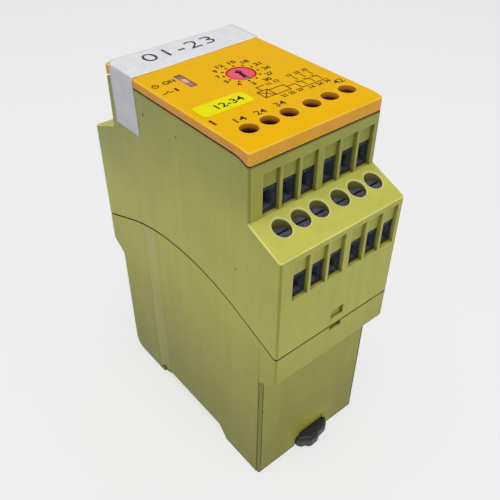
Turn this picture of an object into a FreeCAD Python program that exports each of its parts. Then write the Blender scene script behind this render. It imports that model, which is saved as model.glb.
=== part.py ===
import FreeCAD, Part
import math
import os

import Sketcher
from FreeCAD import Placement, Rotation, Vector

# Timing safety relay in a 45 mm rail housing.
# Frame: +Z runs from the rail side (z = 0) to the front plate (z = depth),
# X is the 45 mm width, Y the 87 mm length between the two terminal ends.
# Origin: centre of the footprint on the rail side.

doc = FreeCAD.newDocument("safety_relay")
sheet = doc.addObject("Spreadsheet::Sheet", "dims")


class Size:
    """A driving dimension: its value in mm and the sheet expression that gives it."""

    def __init__(self, value, text):
        self.value = float(value)
        self.text = text

    def __add__(self, other):
        other = size(other)
        return Size(self.value + other.value, "(%s + %s)" % (self.text, other.text))

    __radd__ = __add__

    def __sub__(self, other):
        other = size(other)
        return Size(self.value - other.value, "(%s - %s)" % (self.text, other.text))

    def __rsub__(self, other):
        return size(other) - self

    def __mul__(self, other):
        other = size(other)
        return Size(self.value * other.value, "(%s * %s)" % (self.text, other.text))

    __rmul__ = __mul__

    def __truediv__(self, other):
        other = size(other)
        return Size(self.value / other.value, "(%s / %s)" % (self.text, other.text))

    def __neg__(self):
        return Size(-self.value, "(0 - %s)" % self.text)


def size(v):
    if isinstance(v, Size):
        return v
    text = ("%.6f" % float(v)).rstrip("0").rstrip(".")
    if text in ("-0", ""):
        text = "0"
    return Size(v, text if float(v) >= 0 else "(0 - %s)" % text[1:])


CELLS = [
    # housing envelope
    ("width", 45.0), ("length", 87.0), ("depth", 121.45), ("wall", 1.6),
    ("corner_round", 0.9), ("edge_round", 0.45),
    ("upper_half", 31.5), ("base_half", 38.0),
    ("tier_foot", 96.7), ("tier_head", 101.5),
    ("plate_end", 117.5), ("plate_side", 119.0), ("plate_gap", 0.45),
    ("plate_bend", 26.5), ("plate_bend_radius", 11.0),
    ("top_bend", 27.0), ("top_end", 120.9), ("top_bend_radius", 18.6),
    ("plate_skin", 1.8),
    # parting seam between the two shells
    ("seam_end", 62.1), ("seam_apex", 73.6), ("seam_bend", 28.0), ("seam_shoulder", 68.25),
    ("seam_radius", 76.0), ("seam_chamfer", 0.14),
    ("lip_low", 51.5), ("lip_root", 47.6), ("floor_top", 6.6), ("foot_round", 4.5),
    # terminals
    ("pole_a", -15.2), ("pole_b", -8.85), ("pole_c", -2.5),
    ("pole_d", 5.1), ("pole_e", 11.45), ("pole_f", 17.8),
    ("recess_width", 5.5), ("recess_depth", 1.2),
    ("low_sill", 82.0), ("low_lintel", 89.5), ("low_brow", 95.0),
    ("high_lintel", 109.0), ("high_brow", 114.0),
    ("low_web", 40.3), ("high_web", 28.4),
    ("tier_shift_y", 12.75), ("tier_shift_z", 19.5),
    ("low_screw_y", 35.75), ("high_screw_y", 23.0),
    ("slope_hole", 5.2), ("plate_hole", 4.8), ("collar_size", 6.0), ("collar_end", 119.35),
    ("block_front", 40.2), ("block_back", 31.9), ("block_floor", 79.5), ("block_roof", 96.0),
    ("block_margin", 3.05),
    ("cage_front", 39.9), ("cage_back", 32.9), ("cage_half", 2.75), ("cage_floor", 81.1),
    ("cage_roof", 94.2), ("cage_sill", 81.9), ("cage_lintel", 90.2), ("cage_bore", 3.1),
    ("cage_window", 3.7), ("mouth_inset", 1.2), ("mouth_half", 2.62), ("mouth_low", 82.15), ("mouth_high", 89.35),
    ("head_low", 95.4), ("head_top", 98.3), ("head_size", 4.6), ("shank_size", 3.0),
    ("shank_end", 90.3), ("slot_width", 0.8), ("slot_deep", 1.0),
    ("bar_low", 89.2), ("bar_high", 90.0), ("bar_half", 1.7), ("tail_half", 0.45),
    ("tail_near", 31.75), ("tail_end", 75.8),
    # rail side
    ("rail_hook_y", 18.5), ("rail_ramp_top", 16.9), ("rail_ramp_foot", 20.8), ("rail_deep", 4.7),
    ("nose_tip", 13.6), ("nose_top", 3.2), ("nose_chamfer", 2.0), ("nose_inset", 1.2),
    ("foot_middle", 1.5), ("foot_width", 14.0), ("foot_top", 4.55), ("foot_low", 0.6),
    ("channel_clear", 0.3), ("channel_top", 4.85),
    ("flange_reach", 1.5), ("flange_low", 1.8), ("flange_high", 3.2),
    ("foot_out", 42.1), ("foot_tip", 14.4), ("foot_neck", 18.2), ("foot_bevel", 1.5), ("foot_nose_top", 3.1),
    ("flange_end", 31.8), ("flange_stop", 35.7),
    ("lug_out", 31.2), ("lug_in", 29.7), ("pocket_in", 20.7), ("pocket_half", 1.9),
    ("spring_size", 3.0), ("spring_wire", 0.4), ("spring_turns", 7.0), ("spring_level", 2.95),
    # latches
    ("latch_low", 65.0), ("latch_high", 68.5), ("latch_left", -2.0), ("latch_right", 3.0),
    # dial and window
    ("dial_x", 2.25), ("dial_y", 1.4), ("dial_size", 7.8), ("dial_top", 121.4),
    ("dial_hole", 8.4), ("stem_size", 4.9),
    ("lens_x", -12.1), ("lens_y", 7.0), ("lens_wide", 2.2), ("lens_long", 8.1),
    # boards
    ("board", 1.6), ("board_half", 20.3), ("front_board_low", 112.0),
    # tape and sticker
    ("tape", 0.12), ("tape_near", 17.7), ("tape_far", 30.0), ("tape_drop", 104.4),
    ("sticker_left", -20.6), ("sticker_right", -4.7), ("sticker_near", -13.1), ("sticker_far", -7.0),
    ("sticker_thick", 0.1), ("sticker_round", 1.3),
]
c = {}
for row, (alias, value) in enumerate(CELLS, 1):
    sheet.set("A%d" % row, alias.replace("_", " "))
    sheet.set("B%d" % row, repr(value))
    sheet.setAlias("B%d" % row, alias)
    c[alias] = Size(value, "dims." + alias)
doc.recompute()


class Cells:
    def __getattr__(self, name):
        return c[name]


D = Cells()
HW = D.width / 2
HL = D.length / 2
IW = HW - D.wall
POLES = [D.pole_a, D.pole_b, D.pole_c, D.pole_d, D.pole_e, D.pole_f]
GROUPS = {"left": POLES[:3], "right": POLES[3:]}

NODES = []


def node(obj, label):
    obj.Label = label
    NODES.append(obj)
    return obj


def bind(obj, prop, value):
    value = size(value)
    obj.setExpression(prop, value.text)


# ---------------------------------------------------------------- sketches
def origin_plane(body, role):
    for feature in body.Origin.OriginFeatures:
        if feature.Role == role:
            return feature
    raise RuntimeError("no plane " + role)


def new_body(name):
    body = doc.addObject("PartDesign::Body", name)
    if hasattr(body, "AllowCompound"):
        body.AllowCompound = True
    return body


def new_sketch(body, name, role, level):
    sk = body.newObject("Sketcher::SketchObject", name)
    sk.AttachmentSupport = [(origin_plane(body, role), "")]
    sk.MapMode = "FlatFace"
    level = size(level)
    sk.AttachmentOffset = Placement(Vector(0, 0, level.value), Rotation())
    sk.setExpression("AttachmentOffset.Base.z", level.text)
    return sk


def point_at(sk, geo, pos, x, y):
    x, y = size(x), size(y)
    i = sk.addConstraint(Sketcher.Constraint("DistanceX", -1, 1, geo, pos, x.value))
    sk.setExpression("Constraints[%d]" % i, x.text)
    i = sk.addConstraint(Sketcher.Constraint("DistanceY", -1, 1, geo, pos, y.value))
    sk.setExpression("Constraints[%d]" % i, y.text)


def circle(sk, x, y, diameter):
    x, y, diameter = size(x), size(y), size(diameter)
    g = sk.addGeometry(Part.Circle(Vector(x.value, y.value, 0), Vector(0, 0, 1), diameter.value / 2))
    i = sk.addConstraint(Sketcher.Constraint("Diameter", g, diameter.value))
    sk.setExpression("Constraints[%d]" % i, diameter.text)
    point_at(sk, g, 3, x, y)
    return g


def rect(sk, x0, y0, x1, y1):
    outline(sk, [(x0, y0), (x1, y0), (x1, y1), (x0, y1)])


def outline(sk, points, arcs=None):
    """Closed outline. arcs maps an edge's index to (radius, side): side is +1 where the arc
    bulges to the left of the walk from its first point to its second, -1 to the right."""
    arcs = arcs or {}
    pts = [(size(a), size(b)) for a, b in points]
    n = len(pts)
    ends = []
    for i in range(n):
        p = Vector(pts[i][0].value, pts[i][1].value, 0)
        q = Vector(pts[(i + 1) % n][0].value, pts[(i + 1) % n][1].value, 0)
        if i in arcs:
            radius, side = arcs[i]
            radius = size(radius)
            chord = q - p
            half = chord.Length / 2
            left = Vector(-chord.y, chord.x, 0)
            left.normalize()
            centre = (p + q) * 0.5 - left * (side * math.sqrt(max(radius.value ** 2 - half ** 2, 0)))
            first, last = (q, p) if side > 0 else (p, q)
            a0 = math.atan2(first.y - centre.y, first.x - centre.x)
            a1 = math.atan2(last.y - centre.y, last.x - centre.x)
            if a1 < a0:
                a1 += 2 * math.pi
            g = sk.addGeometry(Part.ArcOfCircle(Part.Circle(centre, Vector(0, 0, 1), radius.value), a0, a1))
            ends.append((g, 2, 1) if side > 0 else (g, 1, 2))
            k = sk.addConstraint(Sketcher.Constraint("Radius", g, radius.value))
            sk.setExpression("Constraints[%d]" % k, radius.text)
        else:
            g = sk.addGeometry(Part.LineSegment(p, q))
            ends.append((g, 1, 2))
    for i in range(n):
        g, _, last = ends[i]
        h, first, _ = ends[(i + 1) % n]
        sk.addConstraint(Sketcher.Constraint("Coincident", g, last, h, first))
    for i in range(n):
        g, first, _ = ends[i]
        point_at(sk, g, first, pts[i][0], pts[i][1])


def extrude(body, kind, name, sk, length, backwards=False):
    f = body.newObject("PartDesign::" + kind, name)
    f.Profile = sk
    length = size(length)
    f.Length = length.value
    f.setExpression("Length", length.text)
    f.Reversed = backwards
    sk.Visibility = False
    body.Tip = f
    return f


def pad(body, name, sk, length, backwards=False):
    return extrude(body, "Pad", name, sk, length, backwards)


def pocket(body, name, sk, length, backwards=False):
    return extrude(body, "Pocket", name, sk, length, backwards)


def edges_where(feature, test):
    doc.recompute()
    names = []
    for i, e in enumerate(feature.Shape.Edges, 1):
        if test(e):
            names.append("Edge%d" % i)
    return names


def dress(body, kind, name, feature, amount, test):
    names = edges_where(feature, test)
    if not names:
        raise RuntimeError("no edges for " + name)
    f = body.newObject("PartDesign::" + kind, name)
    f.Base = (feature, names)
    amount = size(amount)
    prop = "Radius" if kind == "Fillet" else "Size"
    setattr(f, prop, amount.value)
    f.setExpression(prop, amount.text)
    body.Tip = f
    doc.recompute()
    if not f.isValid() or f.Shape.isNull() or not f.Shape.isValid():
        raise RuntimeError("%s failed on %d edges" % (name, len(names)))
    return f


def mid_of(e):
    return e.valueAt((e.FirstParameter + e.LastParameter) / 2)


def near(a, b, tol=0.02):
    return abs(a - b) < tol


# ---------------------------------------------------------------- primitives
def place(obj, x, y, z):
    x, y, z = size(x), size(y), size(z)
    obj.Placement = Placement(Vector(x.value, y.value, z.value), obj.Placement.Rotation)
    bind(obj, "Placement.Base.x", x)
    bind(obj, "Placement.Base.y", y)
    bind(obj, "Placement.Base.z", z)
    return obj


def box(name, x0, x1, y0, y1, z0, z1):
    b = doc.addObject("Part::Box", name)
    bind(b, "Length", size(x1) - x0)
    bind(b, "Width", size(y1) - y0)
    bind(b, "Height", size(z1) - z0)
    return place(b, x0, y0, z0)


def rod(name, x, y, z0, z1, diameter):
    r = doc.addObject("Part::Cylinder", name)
    bind(r, "Radius", size(diameter) / 2)
    bind(r, "Height", size(z1) - z0)
    return place(r, x, y, z0)


def wedge(name, x0, x1, y0, y1, low0, high0, low1, high1):
    """Block between y0 and y1 whose z range is low0..high0 at y0 and low1..high1 at y1."""
    w = doc.addObject("Part::Wedge", name)
    for prop, v in (("Xmin", x0), ("Xmax", x1), ("X2min", x0), ("X2max", x1), ("Ymin", y0), ("Ymax", y1),
                    ("Zmin", low0), ("Zmax", high0), ("Z2min", low1), ("Z2max", high1)):
        bind(w, prop, v)
    return w


def fuse(name, parts):
    f = doc.addObject("Part::MultiFuse", name)
    f.Shapes = parts
    f.Refine = False
    return f


def cut(name, base, tool):
    f = doc.addObject("Part::Cut", name)
    f.Base = base
    f.Tool = tool
    f.Refine = False
    return f


# ================================================================ lower housing
body = new_body("LowerShell")
sk = new_sketch(body, "LowerOutline", "YZ_Plane", -HW)
outline(sk, [
    (-D.base_half, 0), (-D.rail_ramp_foot, 0), (-D.rail_ramp_top, D.rail_deep), (D.rail_hook_y, D.rail_deep),
    (D.rail_hook_y, 0), (D.base_half - D.foot_round, 0), (D.base_half, D.foot_round), (D.base_half, D.lip_root),
    (HL - 0.67, D.lip_low - 0.48), (HL, D.lip_low + 0.82), (HL, D.seam_end), (D.seam_bend, D.seam_shoulder), (-D.seam_bend, D.seam_shoulder),
    (-HL, D.seam_end), (-HL, D.lip_low + 0.82), (-HL + 0.67, D.lip_low - 0.48), (-D.base_half, D.lip_root),
], {5: (D.foot_round + 0.4, -1), 8: (1.8, -1), 11: (D.seam_radius, -1), 14: (1.8, -1)})
shell = pad(body, "LowerPad", sk, D.width)
doc.recompute()


def lower_corner(e):
    b = e.BoundBox
    m = mid_of(e)
    if b.ZLength > 2 and b.XLength < 1e-6 and b.YLength < 1e-6 and near(abs(m.x), HW.value):
        return near(abs(m.y), D.base_half.value) or near(abs(m.y), HL.value)
    return False


rounded = dress(body, "Fillet", "LowerCorners", shell, D.corner_round, lower_corner)


def lower_seam(e):
    b = e.BoundBox
    m = mid_of(e)
    on_face = near(abs(m.x), HW.value) and b.XLength < 1e-4
    on_end = near(abs(m.y), HL.value) and b.YLength < 1e-4 and b.XLength > 5
    if on_face and m.z > D.seam_end.value - 0.01 and b.ZMin > D.seam_end.value - 0.9 and b.YLength > 1:
        return True
    if on_end and near(m.z, D.seam_end.value, 0.1):
        return True
    return False


chamfered = dress(body, "Chamfer", "LowerSeamEdge", rounded, D.seam_chamfer, lower_seam)

sk = new_sketch(body, "LowerInside", "YZ_Plane", IW)
inner_base = D.base_half - D.wall
inner_lip = HL - D.wall
outline(sk, [
    (-inner_base, D.floor_top), (inner_base, D.floor_top), (inner_base, D.lip_root - 0.7), (inner_lip, D.lip_low - 0.7),
    (inner_lip, 90), (-inner_lip, 90), (-inner_lip, D.lip_low - 0.7), (-inner_base, D.lip_root - 0.7),
])
pocket(body, "LowerCavity", sk, 2 * IW)

channel_left = D.foot_middle - D.foot_width / 2 - D.channel_clear
channel_right = D.foot_middle + D.foot_width / 2 + D.channel_clear
sk = new_sketch(body, "FootChannelOutline", "XY_Plane", 0)
rect(sk, channel_left, -D.base_half - 1, channel_right, -D.rail_ramp_top + 0.5)
channel = pocket(body, "FootChannel", sk, D.channel_top, backwards=True)


def channel_edge(e):
    b = e.BoundBox
    m = mid_of(e)
    on_side = near(m.x, channel_left.value) or near(m.x, channel_right.value)
    return on_side and near(m.z, D.channel_top.value) and b.YLength > 5 and b.ZLength < 1e-4


dress(body, "Fillet", "ChannelRounds", channel, D.foot_bevel + D.channel_clear, channel_edge)
sk = new_sketch(body, "FlangeSlotOutline", "XY_Plane", D.flange_low - D.channel_clear)
rect(sk, channel_left - D.flange_reach, -D.flange_stop, channel_right + D.flange_reach, -D.rail_ramp_top + 0.5)
pocket(body, "FlangeSlot", sk, D.flange_high - D.flange_low + 2 * D.channel_clear, backwards=True)
# shallow scoop in the end wall above the foot
sk = new_sketch(body, "ScoopOutline", "YZ_Plane", channel_left + 1.6)
outline(sk, [(-D.base_half - 0.2, 3.0), (-D.base_half + 0.45, 3.0), (-D.base_half + 0.45, D.channel_top), (-D.base_half + 0.25, D.channel_top + 1.8), (-D.base_half - 0.2, D.channel_top + 3.6)])
pocket(body, "FootScoop", sk, channel_right - channel_left - 3.2, backwards=True)
# stop lug that the return spring leans on
sk = new_sketch(body, "LugOutline", "XY_Plane", D.channel_top)
rect(sk, D.foot_middle - 1.5, -D.lug_out, D.foot_middle + 1.5, -D.lug_in)
pad(body, "StopLug", sk, 3.15, backwards=True)
# fixed hook noses on the far side of the rail recess
sk = new_sketch(body, "HookOutline", "YZ_Plane", -HW + D.nose_inset)
outline(sk, [(D.rail_hook_y + 0.5, 0), (D.rail_hook_y + 0.5, D.nose_top), (D.nose_tip, D.nose_top), (D.nose_tip, D.nose_chamfer), (D.rail_hook_y - 0.8, 0)])
pad(body, "HookLeft", sk, 10.0)
sk = new_sketch(body, "HookOutlineRight", "YZ_Plane", HW - D.nose_inset)
outline(sk, [(D.rail_hook_y + 0.5, 0), (D.rail_hook_y + 0.5, D.nose_top), (D.nose_tip, D.nose_top), (D.nose_tip, D.nose_chamfer), (D.rail_hook_y - 0.8, 0)])
pad(body, "HookRight", sk, 10.0, backwards=True)
# latch tongues that rise into the upper shell's windows, and the prying notches in the seam
for s, tag in ((-1, "Near"), (1, "Far")):
    sk = new_sketch(body, "Tongue" + tag + "Outline", "YZ_Plane", D.latch_left + 0.2)
    outline(sk, [
        (s * (HL - D.wall + 0.3), D.lip_low + 2.0), (s * (HL - D.wall - 0.2), D.lip_low + 3.2), (s * (HL - D.wall - 0.2), D.latch_low + 0.25),
        (s * (HL - D.wall + 0.8), D.latch_low + 0.25), (s * (HL - D.wall + 0.45), D.latch_high - 0.3), (s * (HL - D.wall - 0.2), D.latch_high + 0.4),
        (s * (HL - D.wall - 0.2), D.latch_high + 1.4), (s * (HL - D.wall - 1.5), D.latch_high + 1.4), (s * (HL - D.wall - 1.5), D.lip_low + 2.0),
    ])
    pad(body, "Tongue" + tag, sk, D.latch_right - D.latch_left - 0.4)
    sk = new_sketch(body, "Notch" + tag + "Outline", "XY_Plane", D.seam_end - 1.75)
    y0, y1 = (-HL - 1, -HL + 1.0) if s < 0 else (HL - 1.0, HL + 1)
    rect(sk, D.latch_left + 0.1, y0, D.latch_right - 0.2, y1)
    pocket(body, "Notch" + tag, sk, 3.0, backwards=True)
    # shallow witness grooves beside the base's corners
    for side, gx in (("Left", -HW + 0.8), ("Right", HW - 1.2)):
        sk = new_sketch(body, "Groove%s%sOutline" % (tag, side), "XY_Plane", 4.5)
        gy0, gy1 = (-D.base_half - 1, -D.base_half + 0.3) if s < 0 else (D.base_half - 0.3, D.base_half + 1)
        rect(sk, gx, gy0, gx + 0.4, gy1)
        pocket(body, "Groove%s%s" % (tag, side), sk, 41.5, backwards=True)
    # the flanks step in a little just before the base's corners, and a fine line carries the step up to the seam
    for side, fx0, fx1, lx0, lx1 in (("Left", -HW - 1, -HW + 0.22, -HW - 1, -HW + 0.07), ("Right", HW - 0.22, HW + 1, HW - 0.07, HW + 1)):
        sk = new_sketch(body, "Step%s%sOutline" % (tag, side), "XY_Plane", -0.5)
        fy0, fy1 = (-D.base_half - 1, -D.base_half + 1.25) if s < 0 else (D.base_half - 1.25, D.base_half + 1)
        rect(sk, fx0, fy0, fx1, fy1)
        pocket(body, "Step%s%s" % (tag, side), sk, D.lip_root + 0.4, backwards=True)
        if s > 0:
            continue
        sk = new_sketch(body, "Line%s%sOutline" % (tag, side), "XY_Plane", D.lip_root - 0.6)
        rect(sk, lx0, -D.base_half + 1.0, lx1, -D.base_half + 1.25)
        pocket(body, "Line%s%s" % (tag, side), sk, D.seam_end - D.lip_root + 0.3, backwards=True)
node(body, "lower_housing")

# ================================================================ upper housing
body = new_body("UpperShell")
sk = new_sketch(body, "UpperOutline", "YZ_Plane", -HW)
top_end = D.plate_end - D.plate_gap
top_side = D.plate_side - D.plate_gap
seam_gap = 0.42
outline(sk, [
    (-HL, D.seam_end + seam_gap), (-D.seam_bend, D.seam_shoulder + seam_gap), (D.seam_bend, D.seam_shoulder + seam_gap), (HL, D.seam_end + seam_gap),
    (HL, D.tier_foot), (D.upper_half, D.tier_head), (D.upper_half, top_end), (D.plate_bend, top_side), (-D.plate_bend, top_side),
    (-D.upper_half, top_end), (-D.upper_half, D.tier_head), (-HL, D.tier_foot),
], {1: (D.seam_radius, 1), 6: (D.plate_bend_radius, -1), 8: (D.plate_bend_radius, -1)})
shell = pad(body, "UpperPad", sk, D.width)
doc.recompute()


def upper_corner(e):
    b = e.BoundBox
    m = mid_of(e)
    if not near(abs(m.x), HW.value):
        return False
    if b.ZLength > 2 and b.XLength < 1e-6 and b.YLength < 1e-6:
        return near(abs(m.y), D.upper_half.value) or near(abs(m.y), HL.value)
    return False


rounded = dress(body, "Fillet", "UpperCorners", shell, D.corner_round, upper_corner)


def upper_slope_edge(e):
    b = e.BoundBox
    m = mid_of(e)
    slope_side = near(abs(m.x), HW.value) and b.XLength < 1e-4 and D.tier_foot.value < m.z < D.tier_head.value and b.YLength > 8
    slope_foot = near(abs(m.y), HL.value, 0.3) and near(m.z, D.tier_foot.value, 0.3) and b.XLength > 20
    return slope_side or slope_foot


try:
    softened = dress(body, "Fillet", "UpperSlopeEdges", rounded, D.edge_round, upper_slope_edge)
except RuntimeError as err:
    print("slope edges:", err)
    body.removeObject(doc.getObject("UpperSlopeEdges"))
    doc.removeObject("UpperSlopeEdges")
    body.Tip = rounded
    softened = rounded


def upper_seam(e):
    b = e.BoundBox
    m = mid_of(e)
    if near(abs(m.x), HW.value) and b.XLength < 1e-4 and b.YLength > 1 and m.z < D.seam_apex.value + 0.5:
        return True
    return near(abs(m.y), HL.value) and b.YLength < 1e-4 and b.XLength > 5 and near(m.z, D.seam_end.value + seam_gap, 0.1)


chamfered = dress(body, "Chamfer", "UpperSeamEdge", softened, D.seam_chamfer, upper_seam)

sk = new_sketch(body, "UpperInside", "YZ_Plane", IW)
screw_roof = D.block_roof + 0.15
outline(sk, [
    (-inner_lip, 55), (inner_lip, 55), (inner_lip, D.block_floor + 0.1), (D.low_web, D.block_floor + 0.1), (D.low_web, screw_roof),
    (D.high_web, screw_roof), (D.high_web, 130), (-D.high_web, 130), (-D.high_web, screw_roof), (-D.low_web, screw_roof),
    (-D.low_web, D.block_floor + 0.1), (-inner_lip, D.block_floor + 0.1),
])
pocket(body, "UpperCavity", sk, 2 * IW)
doc.recompute()

cutters = []
for s, tag in ((-1, "Near"), (1, "Far")):
    for i, p in enumerate(POLES):
        left, right = p - D.recess_width / 2, p + D.recess_width / 2
        for tier, outer, sill, lintel, brow, web in (
                ("Low", HL, D.low_sill, D.low_lintel, D.low_brow, D.low_web),
                ("High", D.upper_half, D.tier_head, D.high_lintel, D.high_brow, D.high_web)):
            name = "%s%s%d" % (tag, tier, i + 1)
            back = outer - D.recess_depth
            face = outer - 0.95
            if s < 0:
                cutters.append(wedge("Recess" + name, left, right, -outer - 0.0, -face, sill, brow, sill, brow - 0.15))
                cutters.append(wedge("Scoop" + name, left, right, -face, -back, sill, brow - 0.15, sill, lintel))
                cutters.append(box("Entry" + name, left, right, -back, -web + 0.3, sill, lintel))
            else:
                cutters.append(wedge("Recess" + name, left, right, face, outer + 0.0, sill, brow - 0.15, sill, brow))
                cutters.append(wedge("Scoop" + name, left, right, back, face, sill, lintel, sill, brow - 0.15))
                cutters.append(box("Entry" + name, left, right, web - 0.3, back, sill, lintel))
        cutters.append(rod("DriverHole%s%d" % (tag, i + 1), p, s * D.low_screw_y, D.block_roof - 0.5, D.tier_head + 3, D.slope_hole))
    y0, y1 = (-HL - 1, -HL + D.wall + 1) if s < 0 else (HL - D.wall - 1, HL + 1)
    cutters.append(box("LatchWindow" + tag, D.latch_left, D.latch_right, y0, y1, D.latch_low, D.latch_high))
openings = fuse("UpperOpenings", cutters)
upper = cut("UpperCut", body, openings)
doc.recompute()


def slope_rim(e):
    if not hasattr(e.Curve, "Radius") and "Ellipse" not in e.Curve.TypeId:
        return False
    b = e.BoundBox
    m = mid_of(e)
    if not near(b.XLength, D.slope_hole.value, 0.05):
        return False
    s = -1 if m.y < 0 else 1
    cy = (b.YMin + b.YMax) / 2
    return near(abs(cy), D.low_screw_y.value, 0.05) and b.ZMax > 100.2


rims = [i for i, e in enumerate(upper.Shape.Edges, 1) if slope_rim(e)]
print("slope rims", len(rims))
top = doc.addObject("Part::Chamfer", "UpperRims")
top.Base = upper
top.Edges = [(i, 0.22, 0.22) for i in rims]
doc.recompute()
if rims and top.isValid() and not top.Shape.isNull() and top.Shape.isValid():
    node(top, "upper_housing")
else:
    print("rims left sharp")
    doc.removeObject("UpperRims")
    node(upper, "upper_housing")

# ================================================================ front plate
body = new_body("PlateShell")
sk = new_sketch(body, "PlateOutline", "YZ_Plane", -HW)
outline(sk, [
    (-D.upper_half, D.plate_end), (-D.plate_bend, D.plate_side), (D.plate_bend, D.plate_side), (D.upper_half, D.plate_end),
    (D.upper_half, D.top_end), (D.top_bend, D.depth), (-D.top_bend, D.depth), (-D.upper_half, D.top_end),
], {0: (D.plate_bend_radius, 1), 2: (D.plate_bend_radius, 1), 4: (D.top_bend_radius, -1), 6: (D.top_bend_radius, -1)})
shell = pad(body, "PlatePad", sk, D.width)


def plate_corner(e):
    b = e.BoundBox
    m = mid_of(e)
    return near(abs(m.x), HW.value) and near(abs(m.y), D.upper_half.value) and b.ZLength > 2 and b.XLength < 1e-6 and b.YLength < 1e-6


rounded = dress(body, "Fillet", "PlateCorners", shell, D.corner_round + 0.1, plate_corner)


def plate_top_edge(e):
    b = e.BoundBox
    m = mid_of(e)
    if b.ZMin < D.top_end.value - 0.1:
        return False
    on_side = near(abs(m.x), HW.value) and b.XLength < 1e-4
    on_end = near(abs(m.y), D.upper_half.value) and b.YLength < 1e-4
    corner = b.XLength > 0.3 and b.XLength < 1.3 and b.YLength > 0.3 and b.YLength < 1.3
    return on_side or on_end or corner


softened = dress(body, "Fillet", "PlateTopEdge", rounded, 0.42, plate_top_edge)
sk = new_sketch(body, "PlateInside", "XY_Plane", D.depth - D.plate_skin)
rect(sk, -IW, -D.high_web, IW, D.high_web)
pocket(body, "PlateCavity", sk, 12.0)
# collars that guide the screwdriver down to the screw heads
sk = new_sketch(body, "CollarPlan", "XY_Plane", D.depth - D.plate_skin)
for s in (-1, 1):
    for p in POLES:
        circle(sk, p, s * D.high_screw_y, D.collar_size)
pad(body, "Collars", sk, D.depth - D.plate_skin - D.collar_end, backwards=True)
# locating lips that hang inside the housing's rim and close the shadow gap
sk = new_sketch(body, "EndLipPlan", "XY_Plane", D.depth - D.plate_skin)
rect(sk, -IW + 0.15, -D.high_web + 0.15, IW - 0.15, -D.high_web + 0.95)
rect(sk, -IW + 0.15, D.high_web - 0.95, IW - 0.15, D.high_web - 0.15)
pad(body, "EndLips", sk, D.depth - D.plate_skin - 116.1, backwards=True)
sk = new_sketch(body, "SideLipPlan", "XY_Plane", D.depth - D.plate_skin)
rect(sk, -IW + 0.15, -D.high_web + 0.5, -IW + 0.9, D.high_web - 0.5)
rect(sk, IW - 0.9, -D.high_web + 0.5, IW - 0.15, D.high_web - 0.5)
pad(body, "SideLips", sk, D.depth - D.plate_skin - 117.6, backwards=True)
# snap legs inside the side walls
for side, x0 in (("Left", -IW + 0.1), ("Right", IW - 1.3)):
    sk = new_sketch(body, "Leg%sOutline" % side, "XY_Plane", D.depth - D.plate_skin)
    outline(sk, [(x0, -5), (x0 + 1.2, -5), (x0 + 1.2, 5), (x0, 5)])
    pad(body, "Leg" + side, sk, 8.0, backwards=True)
sk = new_sketch(body, "ScrewHoles", "XY_Plane", D.depth + 1)
for s in (-1, 1):
    for p in POLES:
        circle(sk, p, s * D.high_screw_y, D.plate_hole)
circle(sk, D.dial_x, D.dial_y, D.dial_hole)
holes = pocket(body, "PlateHoles", sk, D.depth + 2 - D.collar_end)
sk = new_sketch(body, "LensHole", "XY_Plane", D.depth + 1)
rect(sk, D.lens_x - D.lens_wide / 2 - 0.06, D.lens_y - D.lens_long / 2 - 0.06, D.lens_x + D.lens_wide / 2 + 0.06, D.lens_y + D.lens_long / 2 + 0.06)
pocket(body, "PlateLensHole", sk, D.plate_skin + 1.5)
sk = new_sketch(body, "SlitOutline", "XY_Plane", D.depth + 1)
rect(sk, -20.85, -17.3, -20.0, -14.4)
last = pocket(body, "PlateSlit", sk, 1.6)


def hole_rim(e):
    b = e.BoundBox
    return near(b.ZMin, D.depth.value, 0.01) and near(b.ZMax, D.depth.value, 0.01) and near(b.XLength, D.plate_hole.value, 0.05) and near(b.YLength, D.plate_hole.value, 0.05)


dress(body, "Fillet", "PlateHoleRims", last, 0.25, hole_rim)
node(body, "front_plate")

# ================================================================ rail foot, slides out along -Y
fl = D.foot_middle - D.foot_width / 2
fr = D.foot_middle + D.foot_width / 2
body = new_body("FootBody")
sk = new_sketch(body, "FootPlan", "XY_Plane", D.foot_low)
outline(sk, [
    (fl, -D.foot_tip - 3.8), (fl, -38.2), (fl + 1.2, -40.3), (fl + 2.3, -40.7), (fl + 4.2, -D.foot_out), (fl + 6.6, -D.foot_out + 0.1),
    (fl + 8.4, -D.foot_out + 1.0), (fl + 11.0, -D.foot_out + 1.4), (fr, -38.4), (fr, -D.foot_tip - 3.8),
], {1: (2.4, -1), 3: (2.4, -1), 5: (3.5, -1), 7: (3.4, -1)})
slab = pad(body, "FootSlab", sk, D.foot_top - D.foot_low)


def foot_rim(e):
    b = e.BoundBox
    m = mid_of(e)
    if not (near(b.ZMin, D.foot_top.value, 0.01) and near(b.ZMax, D.foot_top.value, 0.01)):
        return False
    return m.y < -D.foot_tip.value - 3.9


dress(body, "Fillet", "FootRim", slab, D.foot_bevel, foot_rim)
sk = new_sketch(body, "FootNosePlan", "YZ_Plane", fl + 1.2)
outline(sk, [
    (-D.foot_neck - 0.5, D.foot_low), (-D.foot_tip - 1.6, D.foot_low), (-D.foot_tip, D.foot_low + 1.2), (-D.foot_tip, D.foot_nose_top), (-D.foot_neck - 0.5, D.foot_nose_top),
])
pad(body, "FootNose", sk, D.foot_width - 2.4)
sk = new_sketch(body, "FootFlangePlan", "XY_Plane", D.flange_low)
rect(sk, fl - D.flange_reach, -D.flange_end, fr + D.flange_reach, -D.foot_neck - 0.8)
pad(body, "FootFlange", sk, D.flange_high - D.flange_low)
sk = new_sketch(body, "SpringPocketPlan", "XY_Plane", D.foot_top)
rect(sk, D.foot_middle - D.pocket_half, -D.lug_out - 0.3, D.foot_middle + D.pocket_half, -D.pocket_in)
pocket(body, "SpringPocket", sk, D.foot_top - 1.2)
node(body, "rail_foot")

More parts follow.
